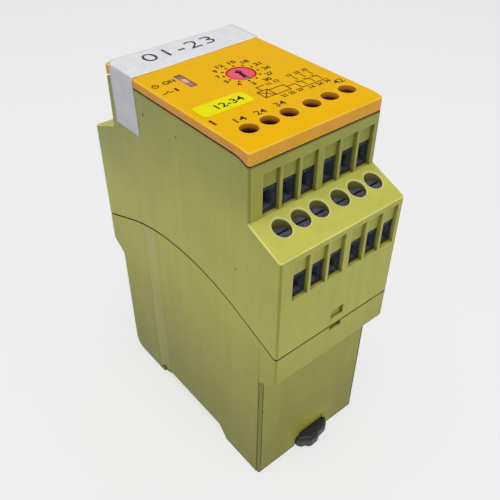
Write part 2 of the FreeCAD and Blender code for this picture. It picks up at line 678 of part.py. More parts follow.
# return spring between the housing's stop lug and the foot's pocket
spring_len = D.lug_in - D.pocket_in - 0.1
helix = doc.addObject("Part::Helix", "SpringPath")
bind(helix, "Radius", (D.spring_size - D.spring_wire) / 2)
bind(helix, "Height", spring_len - D.spring_wire - 0.1)
bind(helix, "Pitch", (spring_len - D.spring_wire - 0.1) / D.spring_turns)
ring = doc.addObject("Part::Circle", "SpringSection")
bind(ring, "Radius", D.spring_wire / 2)
ring.Placement = Placement(Vector((D.spring_size.value - D.spring_wire.value) / 2, 0, 0), Rotation(Vector(1, 0, 0), 90))
bind(ring, "Placement.Base.x", (D.spring_size - D.spring_wire) / 2)
coil = doc.addObject("Part::Sweep", "SpringCoil")
coil.Sections = [ring]
coil.Spine = (helix, ["Edge1"])
coil.Solid = True
coil.Frenet = True
doc.recompute()
coil.Placement = Placement(Vector(0, 0, 0), Rotation(Vector(1, 0, 0), -90))
bind(coil, "Placement.Base.x", D.foot_middle)
bind(coil, "Placement.Base.y", -D.lug_in + D.spring_wire / 2 + 0.05)
bind(coil, "Placement.Base.z", D.spring_level)
node(coil, "foot_spring")

# ================================================================ time dial and its switch
body = new_body("DialBody")
sk = new_sketch(body, "DialDisc", "XY_Plane", D.depth - D.plate_skin - 1.2)
circle(sk, D.dial_x, D.dial_y, D.dial_size)
first = pad(body, "DialPad", sk, D.dial_top - (D.depth - D.plate_skin - 1.2))
sk = new_sketch(body, "StemDisc", "XY_Plane", 115.0)
circle(sk, D.dial_x, D.dial_y, D.stem_size)
stem = pad(body, "DialStem", sk, D.depth - D.plate_skin - 1.2 - 115.0)


def dial_rim(e):
    b = e.BoundBox
    return near(b.ZMin, D.dial_top.value, 0.01) and near(b.XLength, D.dial_size.value, 0.01)


rim = dress(body, "Fillet", "DialRim", stem, 0.22, dial_rim)
# retaining flange under the plate
sk = new_sketch(body, "DialFlangeDisc", "XY_Plane", D.depth - D.plate_skin - 1.2)
circle(sk, D.dial_x, D.dial_y, D.dial_hole + 1.0)
pad(body, "DialFlange", sk, 0.85)
# arrow-shaped driver slot with a shallow run-out, turned 8 degrees off the length
turn = math.radians(8.0)


def dial_points(points):
    return [(D.dial_x + a * math.cos(turn) + b * math.sin(turn), D.dial_y - a * math.sin(turn) + b * math.cos(turn)) for a, b in points]


sk = new_sketch(body, "DialArrow", "XY_Plane", D.dial_top)
outline(sk, dial_points([(-0.6, -2.0), (0.6, -2.0), (0.6, 0.9), (1.35, 0.9), (0, 2.9), (-1.35, 0.9), (-0.6, 0.9)]))
pocket(body, "DialSlot", sk, 0.8)
sk = new_sketch(body, "DialRunOut", "XY_Plane", D.dial_top)
outline(sk, dial_points([(-0.7, -4.4), (0.7, -4.4), (0.6, -1.7), (-0.6, -1.7)]))
pocket(body, "DialRunOutCut", sk, 0.3)
node(body, "time_dial")

sw = box("SwitchCase", D.dial_x - 5.2, D.dial_x + 5.2, D.dial_y - 5.2, D.dial_y + 5.2, D.front_board_low + D.board, 117.8)
swb = rod("SwitchBore", D.dial_x, D.dial_y, 114.6, 118.5, D.stem_size + 0.1)
node(cut("SwitchBody", sw, swb), "dial_switch_body")

# ================================================================ status lens and LEDs
body = new_body("LensBody")
sk = new_sketch(body, "LensPlan", "XY_Plane", 118.9)
rect(sk, D.lens_x - D.lens_wide / 2, D.lens_y - D.lens_long / 2, D.lens_x + D.lens_wide / 2, D.lens_y + D.lens_long / 2)
lens = pad(body, "LensPad", sk, D.depth - 118.9 - 0.1)
sk = new_sketch(body, "LensFlangePlan", "XY_Plane", 118.2)
rect(sk, D.lens_x - 1.9, D.lens_y - 5.0, D.lens_x + 1.9, D.lens_y + 5.0)
pad(body, "LensFlange", sk, 1.15)
node(body, "status_lens")
for name, dyy in (("power_led", 2.1), ("output_led", -2.1)):
    stem = rod(name + "_barrel", D.lens_x, D.lens_y + dyy, D.front_board_low + D.board + 0.8, 116.6, 3.0)
    flange = rod(name + "_flange", D.lens_x, D.lens_y + dyy, D.front_board_low + D.board, D.front_board_low + D.board + 0.8, 3.6)
    dome = doc.addObject("Part::Sphere", name + "_dome")
    bind(dome, "Radius", size(1.5))
    place(dome, D.lens_x, D.lens_y + dyy, 116.6)
    node(fuse(name + "_whole", [stem, flange, dome]), name)

# ================================================================ tape and sticker
body = new_body("TapeBody")


def tape_z(lift):
    """Height of the curved shoulder at the tape's far edge, plus a lift."""
    run = D.tape_far.value - D.top_bend.value
    half = D.upper_half.value - D.top_bend.value
    drop = D.depth.value - D.top_end.value
    r = D.top_bend_radius.value
    chord = math.hypot(half, drop)
    nx, nz = -drop / chord, -half / chord
    mx, mz = (D.top_bend.value + D.upper_half.value) / 2, (D.depth.value + D.top_end.value) / 2
    back = math.sqrt(r * r - chord * chord / 4)
    cx, cz = mx + nx * back, mz + nz * back
    return D.depth - (D.depth.value - (cz + math.sqrt(r * r - (D.top_bend.value + run - cx) ** 2))) + lift


sk = new_sketch(body, "TapeSection", "YZ_Plane", -HW - D.tape)
low, high = tape_z(0.01), tape_z(0.01 + D.tape.value)
outline(sk, [
    (D.tape_near, D.depth + 0.01), (D.top_bend, D.depth + 0.01), (D.tape_far, low), (D.tape_far, high), (D.top_bend, D.depth + D.tape + 0.01), (D.tape_near, D.depth + D.tape + 0.01),
], {1: (D.top_bend_radius, 1), 3: (D.top_bend_radius, -1)})
pad(body, "TapeTop", sk, D.width + D.tape - 0.1)
sk = new_sketch(body, "TapeFlap", "YZ_Plane", -HW - D.tape)
outline(sk, [(D.tape_near - 0.9, D.tape_drop), (D.tape_far - 0.9, D.tape_drop), (D.tape_far, high), (D.top_bend, D.depth + D.tape + 0.01), (D.tape_near, D.depth + D.tape + 0.01)],
        {2: (D.top_bend_radius, -1)})
pad(body, "TapeSide", sk, D.tape)
node(body, "tape_label")

body = new_body("StickerBody")
sk = new_sketch(body, "StickerPlan", "XY_Plane", D.depth)
r = D.sticker_round
outline(sk, [
    (D.sticker_left + r, D.sticker_near), (D.sticker_right - r, D.sticker_near), (D.sticker_right, D.sticker_near + r), (D.sticker_right, D.sticker_far - r),
    (D.sticker_right - r, D.sticker_far), (D.sticker_left + r, D.sticker_far), (D.sticker_left, D.sticker_far - r), (D.sticker_left, D.sticker_near + r),
], {1: (r, -1), 3: (r, -1), 5: (r, -1), 7: (r, -1)})
pad(body, "StickerPad", sk, D.sticker_thick)
node(body, "number_sticker")

# ================================================================ terminals
TIERS = (("lower", size(0), size(0)), ("upper", D.tier_shift_y, D.tier_shift_z))
for s, end in ((-1, "near"), (1, "far")):
    for tier, sy, sz in TIERS:
        tag = "%s_%s" % (end, tier)

        def yy(v):
            return s * (v - sy)

        def yrange(a, b):
            """outer value a, inner value b as an ordered y range"""
            return (yy(a), yy(b)) if s < 0 else (yy(b), yy(a))

        # three-pole insulating blocks
        for side, poles in GROUPS.items():
            body = new_body("Block_%s_%s" % (tag, side))
            sk = new_sketch(body, "Plan_%s_%s" % (tag, side), "XY_Plane", D.block_floor + sz)
            ya, yb = yrange(D.block_front, D.block_back)
            rect(sk, poles[0] - D.block_margin, ya, poles[2] + D.block_margin, yb)
            pad(body, "Pad_%s_%s" % (tag, side), sk, D.block_roof - D.block_floor)
            sk = new_sketch(body, "Cells_%s_%s" % (tag, side), "XZ_Plane", -yy(D.block_front + 1))
            for p in poles:
                rect(sk, p - D.cage_half - 0.05, D.cage_floor - 0.4 + sz, p + D.cage_half + 0.05, D.cage_roof + 0.4 + sz)
            pocket(body, "CellCut_%s_%s" % (tag, side), sk, D.block_front + 1 - D.cage_back + 0.15, backwards=(s > 0))
            sk = new_sketch(body, "Heads_%s_%s" % (tag, side), "XY_Plane", D.block_roof + 1 + sz)
            for p in poles:
                circle(sk, p, yy(D.low_screw_y), D.head_size + 0.3)
            pocket(body, "HeadCut_%s_%s" % (tag, side), sk, D.block_roof + 1 - D.cage_roof)
            sk = new_sketch(body, "Tails_%s_%s" % (tag, side), "XY_Plane", D.block_floor - 1 + sz)
            ya, yb = yrange(D.cage_back - 0.1, D.block_back - 0.3)
            for p in poles:
                rect(sk, p - D.tail_half - 0.1, ya, p + D.tail_half + 0.1, yb)
            pocket(body, "TailCut_%s_%s" % (tag, side), sk, D.bar_high + 0.4 - D.block_floor + 1, backwards=True)
            node(body, "terminal_block_%s_%s" % (tag, side))

        # clamp cages
        body = new_body("Cages_" + tag)
        sk = new_sketch(body, "CagePlan_" + tag, "XY_Plane", D.cage_floor + sz)
        ya, yb = yrange(D.cage_front, D.cage_back)
        for p in POLES:
            rect(sk, p - D.cage_half, ya, p + D.cage_half, yb)
        pad(body, "CagePad_" + tag, sk, D.cage_roof - D.cage_floor)
        sk = new_sketch(body, "CageWindow_" + tag, "XZ_Plane", -yy(D.cage_front + 1))
        for p in POLES:
            rect(sk, p - D.cage_window / 2, D.cage_sill + sz, p + D.cage_window / 2, D.cage_lintel + sz)
        pocket(body, "CageCut_" + tag, sk, D.cage_front + 2 - D.cage_back, backwards=(s > 0))
        # mouth frames that stand in the wire entries
        mouth_front = HL - D.mouth_inset if tier == "lower" else D.upper_half - D.mouth_inset + D.tier_shift_y
        sk = new_sketch(body, "CageMouth_" + tag, "XZ_Plane", -yy(D.cage_front))
        for p in POLES:
            rect(sk, p - D.mouth_half, D.mouth_low + sz, p + D.mouth_half, D.mouth_high + sz)
            rect(sk, p - D.cage_window / 2, D.mouth_low + 0.85 + sz, p + D.cage_window / 2, D.mouth_high - 0.85 + sz)
        pad(body, "CageMouthPad_" + tag, sk, mouth_front - D.cage_front, backwards=(s > 0))
        sk = new_sketch(body, "CageBore_" + tag, "XY_Plane", D.cage_roof + 1 + sz)
        for p in POLES:
            circle(sk, p, yy(D.low_screw_y), D.cage_bore)
        pocket(body, "CageBoreCut_" + tag, sk, D.cage_roof + 1 - D.cage_lintel + 0.5)
        node(body, "clamp_cages_" + tag)

        # slotted clamp screws
        body = new_body("Screws_" + tag)
        sk = new_sketch(body, "ScrewHeads_" + tag, "XY_Plane", D.head_low + sz)
        for p in POLES:
            circle(sk, p, yy(D.low_screw_y), D.head_size)
        pad(body, "ScrewHeadPad_" + tag, sk, D.head_top - D.head_low)
        sk = new_sketch(body, "ScrewShanks_" + tag, "XY_Plane", D.shank_end + sz)
        for p in POLES:
            circle(sk, p, yy(D.low_screw_y), D.shank_size)
        pad(body, "ScrewShankPad_" + tag, sk, D.head_low - D.shank_end)
        sk = new_sketch(body, "ScrewSlots_" + tag, "XY_Plane", D.head_top + sz)
        for p in POLES:
            yc = yy(D.low_screw_y)
            rect(sk, p - D.head_size / 2 - 0.2, yc - D.slot_width / 2, p + D.head_size / 2 + 0.2, yc + D.slot_width / 2)
        pocket(body, "ScrewSlotCut_" + tag, sk, D.slot_deep)
        node(body, "terminal_screws_" + tag)

        # current bars with their solder tails
        body = new_body("Bars_" + tag)
        sk = new_sketch(body, "BarPlan_" + tag, "XY_Plane", D.bar_low + sz)
        ya, yb = yrange(D.cage_front - 0.3, D.cage_back + 0.1)
        for p in POLES:
            rect(sk, p - D.bar_half, ya, p + D.bar_half, yb)
        pad(body, "BarPad_" + tag, sk, D.bar_high - D.bar_low)
        sk = new_sketch(body, "NeckPlan_" + tag, "XY_Plane", D.bar_low + sz)
        ya, yb = yrange(D.cage_back + 0.3, D.tail_near)
        for p in POLES:
            rect(sk, p - D.tail_half, ya, p + D.tail_half, yb)
        pad(body, "NeckPad_" + tag, sk, D.bar_high - D.bar_low)
        sk = new_sketch(body, "TailPlan_" + tag, "XY_Plane", D.bar_high + sz)
        ya, yb = yrange(D.tail_near + 0.7, D.tail_near)
        for p in POLES:
            rect(sk, p - D.tail_half, ya, p + D.tail_half, yb)
        pad(body, "TailPad_" + tag, sk, D.bar_high - D.tail_end, backwards=True)
        node(body, "current_bars_" + tag)

# ================================================================ boards
for name, low, half_y, shift in (("main_board", D.block_floor - D.board, size(40.0), size(0)), ("upper_board", D.block_floor + D.tier_shift_z - D.board, size(27.5), D.tier_shift_y)):
    body = new_body(name.replace("_", " ").title().replace(" ", ""))
    sk = new_sketch(body, name + "_plan", "XY_Plane", low)
    rect(sk, -D.board_half, -half_y, D.board_half, half_y)
    pad(body, name + "_pad", sk, D.board)
    sk = new_sketch(body, name + "_drills", "XY_Plane", low + D.board + 1)
    for s in (-1, 1):
        for p in POLES:
            circle(sk, p, s * (D.tail_near + 0.35 - shift), 1.3)
    pocket(body, name + "_drill_cut", sk, D.board + 2)
    node(body, name)
node(box("FrontBoard", -16.0, 16.0, -17.5, 17.5, D.front_board_low, D.front_board_low + D.board), "front_board")

# the relay board stands on edge in the lower shell
relay_x0, relay_x1 = size(-18.6), size(-17.0)
body = new_body("RelayBoard")
sk = new_sketch(body, "RelayBoardPlan", "YZ_Plane", relay_x0)
outline(sk, [(-34.5, 8.5), (34.5, 8.5), (34.5, 45.0), (34.5, 72.0), (-34.5, 72.0), (-34.5, 45.0)])
pad(body, "RelayBoardPad", sk, relay_x1 - relay_x0)
node(body, "relay_board")

# force-guided relays: sealed boxes with softened edges
for i, z0 in enumerate((11.5, 27.5, 43.5), 1):
    b = new_body("Relay%d" % i)
    sk = new_sketch(b, "RelayPlan%d" % i, "XY_Plane", z0)
    rect(sk, relay_x1, -31.5, relay_x1 + 25.5, -2.5)
    p = pad(b, "RelayPad%d" % i, sk, 13.0)
    dress(b, "Fillet", "RelayEdges%d" % i, p, 0.5, lambda e: mid_of(e).x > relay_x1.value + 0.1)
    node(b, "safety_relay_%d" % i)

# supply and timing parts on the relay board
def lying_can(name, y, z, length, diameter):
    can = doc.addObject("Part::Cylinder", name)
    bind(can, "Radius", size(diameter) / 2)
    bind(can, "Height", size(length))
    can.Placement = Placement(Vector(0, 0, 0), Rotation(Vector(0, 1, 0), 90))
    bind(can, "Placement.Base.x", relay_x1)
    bind(can, "Placement.Base.y", size(y))
    bind(can, "Placement.Base.z", size(z))
    return can


def can_with_edge(name, y, z, length, diameter):
    can = lying_can(name + "_can", y, z, length, diameter)
    doc.recompute()
    f = doc.addObject("Part::Fillet", name + "_edges")
    f.Base = can
    f.Edges = [(i, 0.8, 0.8) for i, e in enumerate(can.Shape.Edges, 1) if near(mid_of(e).x, relay_x1.value + length, 0.05) and e.BoundBox.XLength < 0.01]
    doc.recompute()
    return f


node(can_with_edge("smoothing_capacitor", 13.0, 23.0, 30.0, 18.0), "smoothing_capacitor")
node(can_with_edge("timing_capacitor", 28.0, 19.0, 16.0, 8.0), "timing_capacitor")
node(box("FilmCap", relay_x1, relay_x1 + 15, 4.0, 22.0, 38.0, 46.0), "film_capacitor")
node(box("Rectifier", relay_x1, relay_x1 + 10, 6.0, 21.0, 52.0, 55.5), "bridge_rectifier")
disc = doc.addObject("Part::Cylinder", "VaristorDisc")
bind(disc, "Radius", size(5.5))
bind(disc, "Height", size(4.0))
disc.Placement = Placement(Vector(-9.5, 26.0, 60.0), Rotation())
bind(disc, "Placement.Base.x", relay_x1 + 7.6)
bind(disc, "Placement.Base.y", size(28.0))
bind(disc, "Placement.Base.z", size(50.0))
legs = [box("VaristorLeg%d" % i, relay_x1, relay_x1 + 3.4, 28.0 + off - 0.3, 28.0 + off + 0.3, 51.6, 52.2) for i, off in ((1, -2.0), (2, 2.0))]
node(fuse("Varistor", [disc] + legs), "varistor")
node(box("Fuse", relay_x1, relay_x1 + 8.0, 25.0, 33.5, 33.0, 38.0), "board_fuse")

# logic on the main and upper boards
node(box("TimerChip", -12.0, 8.0, -9.0, -2.5, D.block_floor, D.block_floor + 3.6), "timer_chip")
node(box("DriverChip", -12.0, 8.0, 5.0, 11.5, D.block_floor, D.block_floor + 3.6), "driver_chip")
node(box("LogicChip", -8.0, 2.0, -10.5, -4.0, D.block_floor + D.tier_shift_z, D.block_floor + D.tier_shift_z + 2.4), "logic_chip")

# pin strips that join the boards
def strip(name, label, x0, pitch, count, y, z0, z1, pin_low, pin_high):
    parts = [box(name + "Bar", x0 - 1.27, x0 + (count - 1) * pitch + 1.27, y - 1.25, y + 1.25, z0, z1)]
    for i in range(count):
        x = x0 + i * pitch
        parts.append(box("%sPin%d" % (name, i + 1), x - 0.32, x + 0.32, y - 0.32, y + 0.32, pin_low, pin_high))
    node(fuse(name, parts), label)


strip("StackStrip", "stack_pin_strip", -11.43, 2.54, 10, 15.5, 79.5, 82.0, 79.5, 97.4)
strip("FrontStrip", "front_pin_strip", -6.35, 2.54, 6, -14.5, 99.0, 101.5, 99.0, 112.0)
strip_box = box("RelayStripBar", relay_x1, relay_x1 + 2.5, -12.0, 12.0, 68.0, 70.5)
strip_pins = [box("RelayStripPin%d" % i, relay_x1 + 0.93, relay_x1 + 1.57, -10.2 + 3.4 * i - 0.32, -10.2 + 3.4 * i + 0.32, 70.5, 77.9) for i in range(7)]
node(fuse("RelayStrip", [strip_box] + strip_pins), "relay_pin_strip")

# ================================================================ check and write
doc.recompute()
bad = []
for obj in doc.Objects:
    if "Invalid" in obj.State or "Error" in obj.State:
        bad.append("%s (%s): %s" % (obj.Name, obj.Label, obj.State))
for obj in doc.Objects:
    if obj.TypeId not in ("PartDesign::Pad", "PartDesign::Pocket"):
        continue
    before = obj.BaseFeature.Shape.Volume if obj.BaseFeature is not None else 0.0
    change = obj.Shape.Volume - before
    if obj.TypeId == "PartDesign::Pad" and change < 1e-3:
        bad.append("%s adds nothing (%.4f)" % (obj.Name, change))
    if obj.TypeId == "PartDesign::Pocket" and change > -1e-3:
        bad.append("%s removes nothing (%.4f)" % (obj.Name, change))
labels = set()
for obj in NODES:
    if obj.Shape.isNull() or not obj.Shape.isValid() or not obj.Shape.Solids:
        bad.append("%s: shape null, invalid or empty" % obj.Label)
    if obj.Label in labels:
        bad.append("label used twice: " + obj.Label)
    labels.add(obj.Label)
if bad:
    raise RuntimeError("failed objects:\n" + "\n".join(bad))

os.makedirs("parts", exist_ok=True)
for obj in NODES:
    obj.Shape.exportStep(os.path.join("parts", obj.Label + ".step"))
    b = obj.Shape.BoundBox
    print("%-34s solids %2d  vol %10.2f  x %.2f..%.2f y %.2f..%.2f z %.2f..%.2f" % (
        obj.Label, len(obj.Shape.Solids), obj.Shape.Volume, b.XMin, b.XMax, b.YMin, b.YMax, b.ZMin, b.ZMax))
print("nodes", len(NODES))
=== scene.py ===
import math

import bmesh
import bpy
from mathutils import Matrix, Vector


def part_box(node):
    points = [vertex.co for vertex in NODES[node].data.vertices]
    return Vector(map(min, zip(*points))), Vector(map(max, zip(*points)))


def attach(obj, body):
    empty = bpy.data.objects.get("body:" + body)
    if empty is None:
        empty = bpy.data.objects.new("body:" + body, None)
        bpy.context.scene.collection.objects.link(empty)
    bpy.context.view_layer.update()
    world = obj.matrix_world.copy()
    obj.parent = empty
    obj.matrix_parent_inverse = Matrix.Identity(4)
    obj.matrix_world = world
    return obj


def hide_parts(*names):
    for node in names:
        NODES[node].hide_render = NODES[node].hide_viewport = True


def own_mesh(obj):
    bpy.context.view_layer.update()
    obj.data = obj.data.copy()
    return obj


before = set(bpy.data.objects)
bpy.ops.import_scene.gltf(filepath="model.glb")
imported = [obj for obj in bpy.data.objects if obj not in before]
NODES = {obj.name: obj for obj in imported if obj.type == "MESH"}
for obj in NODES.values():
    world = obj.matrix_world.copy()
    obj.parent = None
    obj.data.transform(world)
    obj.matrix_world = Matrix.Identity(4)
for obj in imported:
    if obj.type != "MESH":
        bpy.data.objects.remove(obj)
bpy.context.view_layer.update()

scene = bpy.context.scene
scene.view_settings.view_transform = "Standard"
MM = 0.001

plate_low, plate_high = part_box("front_plate")
TOP = plate_high.z / MM                      # flat face of the front plate
HALF_W = plate_high.x / MM
HALF_L = plate_high.y / MM
POLES = (-15.2, -8.85, -2.5, 5.1, 11.45, 17.8)
dial_low, dial_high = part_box("time_dial")
DIAL = Vector(((dial_low.x + dial_high.x) / 2, (dial_low.y + dial_high.y) / 2, dial_high.z)) / MM


# ---------------------------------------------------------------- node helper
def lin(r, g, b):
    def f(c):
        c /= 255.0
        return c / 12.92 if c <= 0.04045 else ((c + 0.055) / 1.055) ** 2.4
    return (f(r), f(g), f(b), 1.0)


class Mat:
    def __init__(self, name, roughness=0.5, metallic=0.0, specular=0.5, **sockets):
        self.mat = bpy.data.materials.new(name)
        self.mat.use_nodes = True
        self.nt = self.mat.node_tree
        self.nt.nodes.clear()
        self.out = self.nt.nodes.new("ShaderNodeOutputMaterial")
        self.bsdf = self.nt.nodes.new("ShaderNodeBsdfPrincipled")
        self.nt.links.new(self.bsdf.outputs[0], self.out.inputs[0])
        self.bsdf.inputs["Roughness"].default_value = roughness
        self.bsdf.inputs["Metallic"].default_value = metallic
        self.bsdf.inputs["Specular IOR Level"].default_value = specular
        for k, v in sockets.items():
            self.bsdf.inputs[k.replace("_", " ")].default_value = v
        self.obj = self.nt.nodes.new("ShaderNodeTexCoord").outputs["Object"]
        self._sep = None

    def put(self, socket, value):
        if hasattr(value, "is_output"):
            self.nt.links.new(value, socket)
        else:
            socket.default_value = value

    def add(self, kind, inputs=None, **props):
        n = self.nt.nodes.new(kind)
        for k, v in props.items():
            setattr(n, k, v)
        for k, v in (inputs or {}).items():
            self.put(n.inputs[k], v)
        return n

    def xyz(self):
        if self._sep is None:
            scaled = self.add("ShaderNodeVectorMath", {0: self.obj, 1: (1000.0, 1000.0, 1000.0)}, operation="MULTIPLY")
            self.mm = scaled.outputs[0]
            self._sep = self.add("ShaderNodeSeparateXYZ", {0: self.mm})
        return self._sep.outputs[0], self._sep.outputs[1], self._sep.outputs[2]

    def stretch(self, sx, sy, sz):
        return self.add("ShaderNodeVectorMath", {0: self.obj, 1: (sx, sy, sz)}, operation="MULTIPLY").outputs[0]

    def noise(self, scale, detail=3.0, rough=0.55, vector=None, distortion=0.0):
        n = self.add("ShaderNodeTexNoise", {"Vector": vector or self.obj, "Scale": scale, "Detail": detail, "Roughness": rough, "Distortion": distortion})
        return n.outputs["Fac"]

    def voronoi(self, scale, vector=None, randomness=1.0):
        return self.add("ShaderNodeTexVoronoi", {"Vector": vector or self.obj, "Scale": scale, "Randomness": randomness})

    def ramp(self, fac, lo, hi, a=0.0, b=1.0):
        n = self.add("ShaderNodeMapRange", {"Value": fac, "From Min": lo, "From Max": hi, "To Min": a, "To Max": b}, interpolation_type="SMOOTHSTEP", clamp=True)
        return n.outputs[0]

    def op(self, operation, a, b=0.0, clamp=False):
        return self.add("ShaderNodeMath", {0: a, 1: b}, operation=operation, use_clamp=clamp).outputs[0]

    def mix(self, fac, a, b, blend="MIX"):
        n = self.add("ShaderNodeMix", data_type="RGBA", blend_type=blend)
        self.put(n.inputs[0], fac)
        self.put(n.inputs[6], a)
        self.put(n.inputs[7], b)
        return n.outputs[2]

    def scale_color(self, color, fac):
        """color multiplied by a grey factor"""
        grey = self.add("ShaderNodeCombineColor", {0: fac, 1: fac, 2: fac}).outputs[0]
        return self.mix(1.0, color, grey, "MULTIPLY")

    def bump(self, height, strength=0.3, distance=0.0001, normal=None):
        n = self.add("ShaderNodeBump", {"Height": height, "Strength": strength, "Distance": distance})
        if normal is not None:
            self.put(n.inputs["Normal"], normal)
        return n.outputs[0]

    def occlusion(self, distance=0.002, samples=8):
        return self.add("ShaderNodeAmbientOcclusion", {"Distance": distance}, samples=samples).outputs["AO"]

    def edge(self, radius=0.0004, gain=6.0):
        """1 on convex and concave edges, 0 on flats"""
        bevel = self.add("ShaderNodeBevel", {"Radius": radius}, samples=4).outputs[0]
        geo = self.add("ShaderNodeNewGeometry").outputs["Normal"]
        d = self.add("ShaderNodeVectorMath", {0: bevel, 1: geo}, operation="DOT_PRODUCT").outputs["Value"]
        return self.op("MULTIPLY", self.op("SUBTRACT", 1.0, d), gain, clamp=True)

    def facing(self, axis):
        """how far the surface faces up (2), along the length (1) or across (0): 0 to 1"""
        vec = self.nt.nodes.new("ShaderNodeTexCoord").outputs["Normal"]
        return self.op("ABSOLUTE", self.add("ShaderNodeSeparateXYZ", {0: vec}).outputs[axis])

    def near(self, point, radius, soft=0.5):
        """1 inside a small ball round a point given in mm"""
        self.xyz()
        d = self.add("ShaderNodeVectorMath", {0: self.mm, 1: point}, operation="DISTANCE").outputs["Value"]
        return self.ramp(d, radius * (1 - soft), radius * (1 + soft), 1.0, 0.0)

    def color(self, value):
        self.put(self.bsdf.inputs["Base Color"], value)

    def rough(self, value):
        self.put(self.bsdf.inputs["Roughness"], value)

    def normal(self, value):
        self.put(self.bsdf.inputs["Normal"], value)


def paint(obj, m):
    mat = m.mat if isinstance(m, Mat) else m
    if not obj.data.materials:
        obj.data.materials.append(mat)
    for s in obj.material_slots:
        s.material = mat


# ---------------------------------------------------------------- materials
SLOPE_Y = 35.75                              # row of driver holes in the slopes


def housing(name, base, low_tint, flank_shade, marks):
    m = Mat(name, roughness=0.5, specular=0.26)
    x, y, z = m.xyz()
    ax, ay = m.op("ABSOLUTE", x), m.op("ABSOLUTE", y)
    big = m.noise(28.0, 2.0, 0.5)
    mid = m.noise(170.0, 4.0, 0.6)
    streak = m.noise(1.0, 3.0, 0.6, vector=m.stretch(260.0, 260.0, 14.0))
    fine = m.noise(2600.0, 2.0, 0.6)
    shade = m.op("ADD", 0.70, m.op("MULTIPLY", big, 0.18))
    shade = m.op("ADD", shade, m.op("MULTIPLY", mid, 0.16))
    shade = m.op("ADD", shade, m.op("MULTIPLY", streak, 0.22))
    shade = m.op("ADD", shade, m.op("MULTIPLY", m.op("SUBTRACT", fine, 0.5), 0.05))
    c = m.scale_color(base, shade)
    # deeper olive towards the rail side
    c = m.mix(m.ramp(z, 80.0, -6.0, 0.0, 1.0), c, m.mix(1.0, c, low_tint, "MULTIPLY"))
    # upright faces: painted shade, greyer and duller close under the front plate
    upright = m.ramp(m.facing(2), 0.5, 0.2)
    high = m.op("MULTIPLY", m.ramp(z, 92.0, 117.0), upright)
    c = m.mix(high, c, m.mix(1.0, c, (0.74, 0.77, 0.84, 1), "MULTIPLY"))
    # painted shade: flanks and terminal ends a little duller than the slopes
    c = m.mix(m.ramp(m.facing(0), 0.5, 0.85), c, m.mix(1.0, c, flank_shade, "MULTIPLY"))
    c = m.mix(m.ramp(m.facing(1), 0.5, 0.85), c, m.mix(1.0, c, (0.93, 0.94, 0.92, 1), "MULTIPLY"))
    # painted shade: the flank darkens towards the far shoulder
    far = m.op("MULTIPLY", m.op("MULTIPLY", m.ramp(y, -6.0, 42.0), m.ramp(z, 74.0, 96.0)), m.ramp(m.facing(0), 0.5, 0.85))
    c = m.mix(far, c, m.mix(1.0, c, (0.76, 0.765, 0.92, 1), "MULTIPLY"))
    # broad cloudy patches where the moulding was handled
    cloud = m.noise(46.0, 3.0, 0.6, distortion=0.6)
    c = m.mix(m.op("MULTIPLY", m.ramp(cloud, 0.50, 0.66), 0.30), c, m.mix(1.0, c, (0.86, 0.90, 0.80, 1), "MULTIPLY"))
    c = m.mix(m.op("MULTIPLY", m.ramp(cloud, 0.46, 0.34), 0.30), c, m.mix(1.0, c, (1.10, 1.08, 1.16, 1), "MULTIPLY"))
    # painted light: the upward-facing slopes are made yellower and brighter
    c = m.mix(m.op("MULTIPLY", m.ramp(m.facing(2), 0.5, 0.8), 0.5), c, m.mix(1.0, c, (1.04, 1.06, 1.0, 1), "MULTIPLY"))
    # rubbed band down the flank, below the seam and a little above it
    band = m.op("MULTIPLY", m.ramp(y, 13.4, 15.0), m.ramp(y, 20.2, 19.2))
    band = m.op("MULTIPLY", band, m.ramp(x, -21.5, -22.4))
    band = m.op("MULTIPLY", band, m.ramp(z, 82.0, 70.0))
    rub = m.noise(1.0, 2.0, 0.7, vector=m.stretch(30.0, 1100.0, 9.0))
    band = m.op("MULTIPLY", band, m.ramp(rub, 0.38, 0.62, 0.25, 1.0))
    c = m.mix(m.op("MULTIPLY", band, 0.20), c, lin(210, 206, 168))
    # dirt that settles in corners, gaps and round the openings, mixed with painted shade where the occlusion node
    # finds them hidden
    ao = m.occlusion(0.0022)
    occlusion_shade_and_dirt = m.op("MULTIPLY", m.ramp(ao, 0.84, 0.34), m.op("ADD", 0.55, m.op("MULTIPLY", mid, 0.6)))
    c = m.mix(m.op("MULTIPLY", occlusion_shade_and_dirt, 0.66), c, lin(84, 80, 20))
    # darker lines along the upright corners of the terminal ends, and painted shade in the sunk strip beside the
    # base's corners
    corner = m.op("MULTIPLY", m.ramp(ax, 21.35, 21.9), m.ramp(ax, 22.45, 22.2))
    corner = m.op("MULTIPLY", corner, m.op("MULTIPLY", m.ramp(ay, 43.0, 43.3), m.ramp(z, 97.0, 96.0)))
    tier = m.op("MULTIPLY", m.ramp(ax, 21.35, 21.9), m.ramp(ax, 22.45, 22.2))
    tier = m.op("MULTIPLY", tier, m.op("MULTIPLY", m.ramp(ay, 31.05, 31.3), m.ramp(ay, 31.9, 31.6)))
    tier = m.op("MULTIPLY", tier, m.ramp(z, 101.0, 102.0))
    strip = m.op("MULTIPLY", m.ramp(ay, 36.70, 36.80), m.ramp(ay, 38.4, 38.3))
    strip = m.op("MULTIPLY", strip, m.op("MULTIPLY", m.ramp(z, 47.9, 47.4), m.ramp(ax, 21.25, 21.45)))
    lines = m.op("MAXIMUM", corner, tier)
    lines = m.op("MULTIPLY", lines, m.op("ADD", 0.35, m.op("MULTIPLY", m.ramp(streak, 0.3, 0.6), 0.55)))
    c = m.mix(m.op("MULTIPLY", lines, 0.62), c, lin(104, 100, 36))
    c = m.mix(m.op("MULTIPLY", strip, m.ramp(mid, 0.2, 0.6, 0.35, 0.62)), c, lin(96, 95, 24))
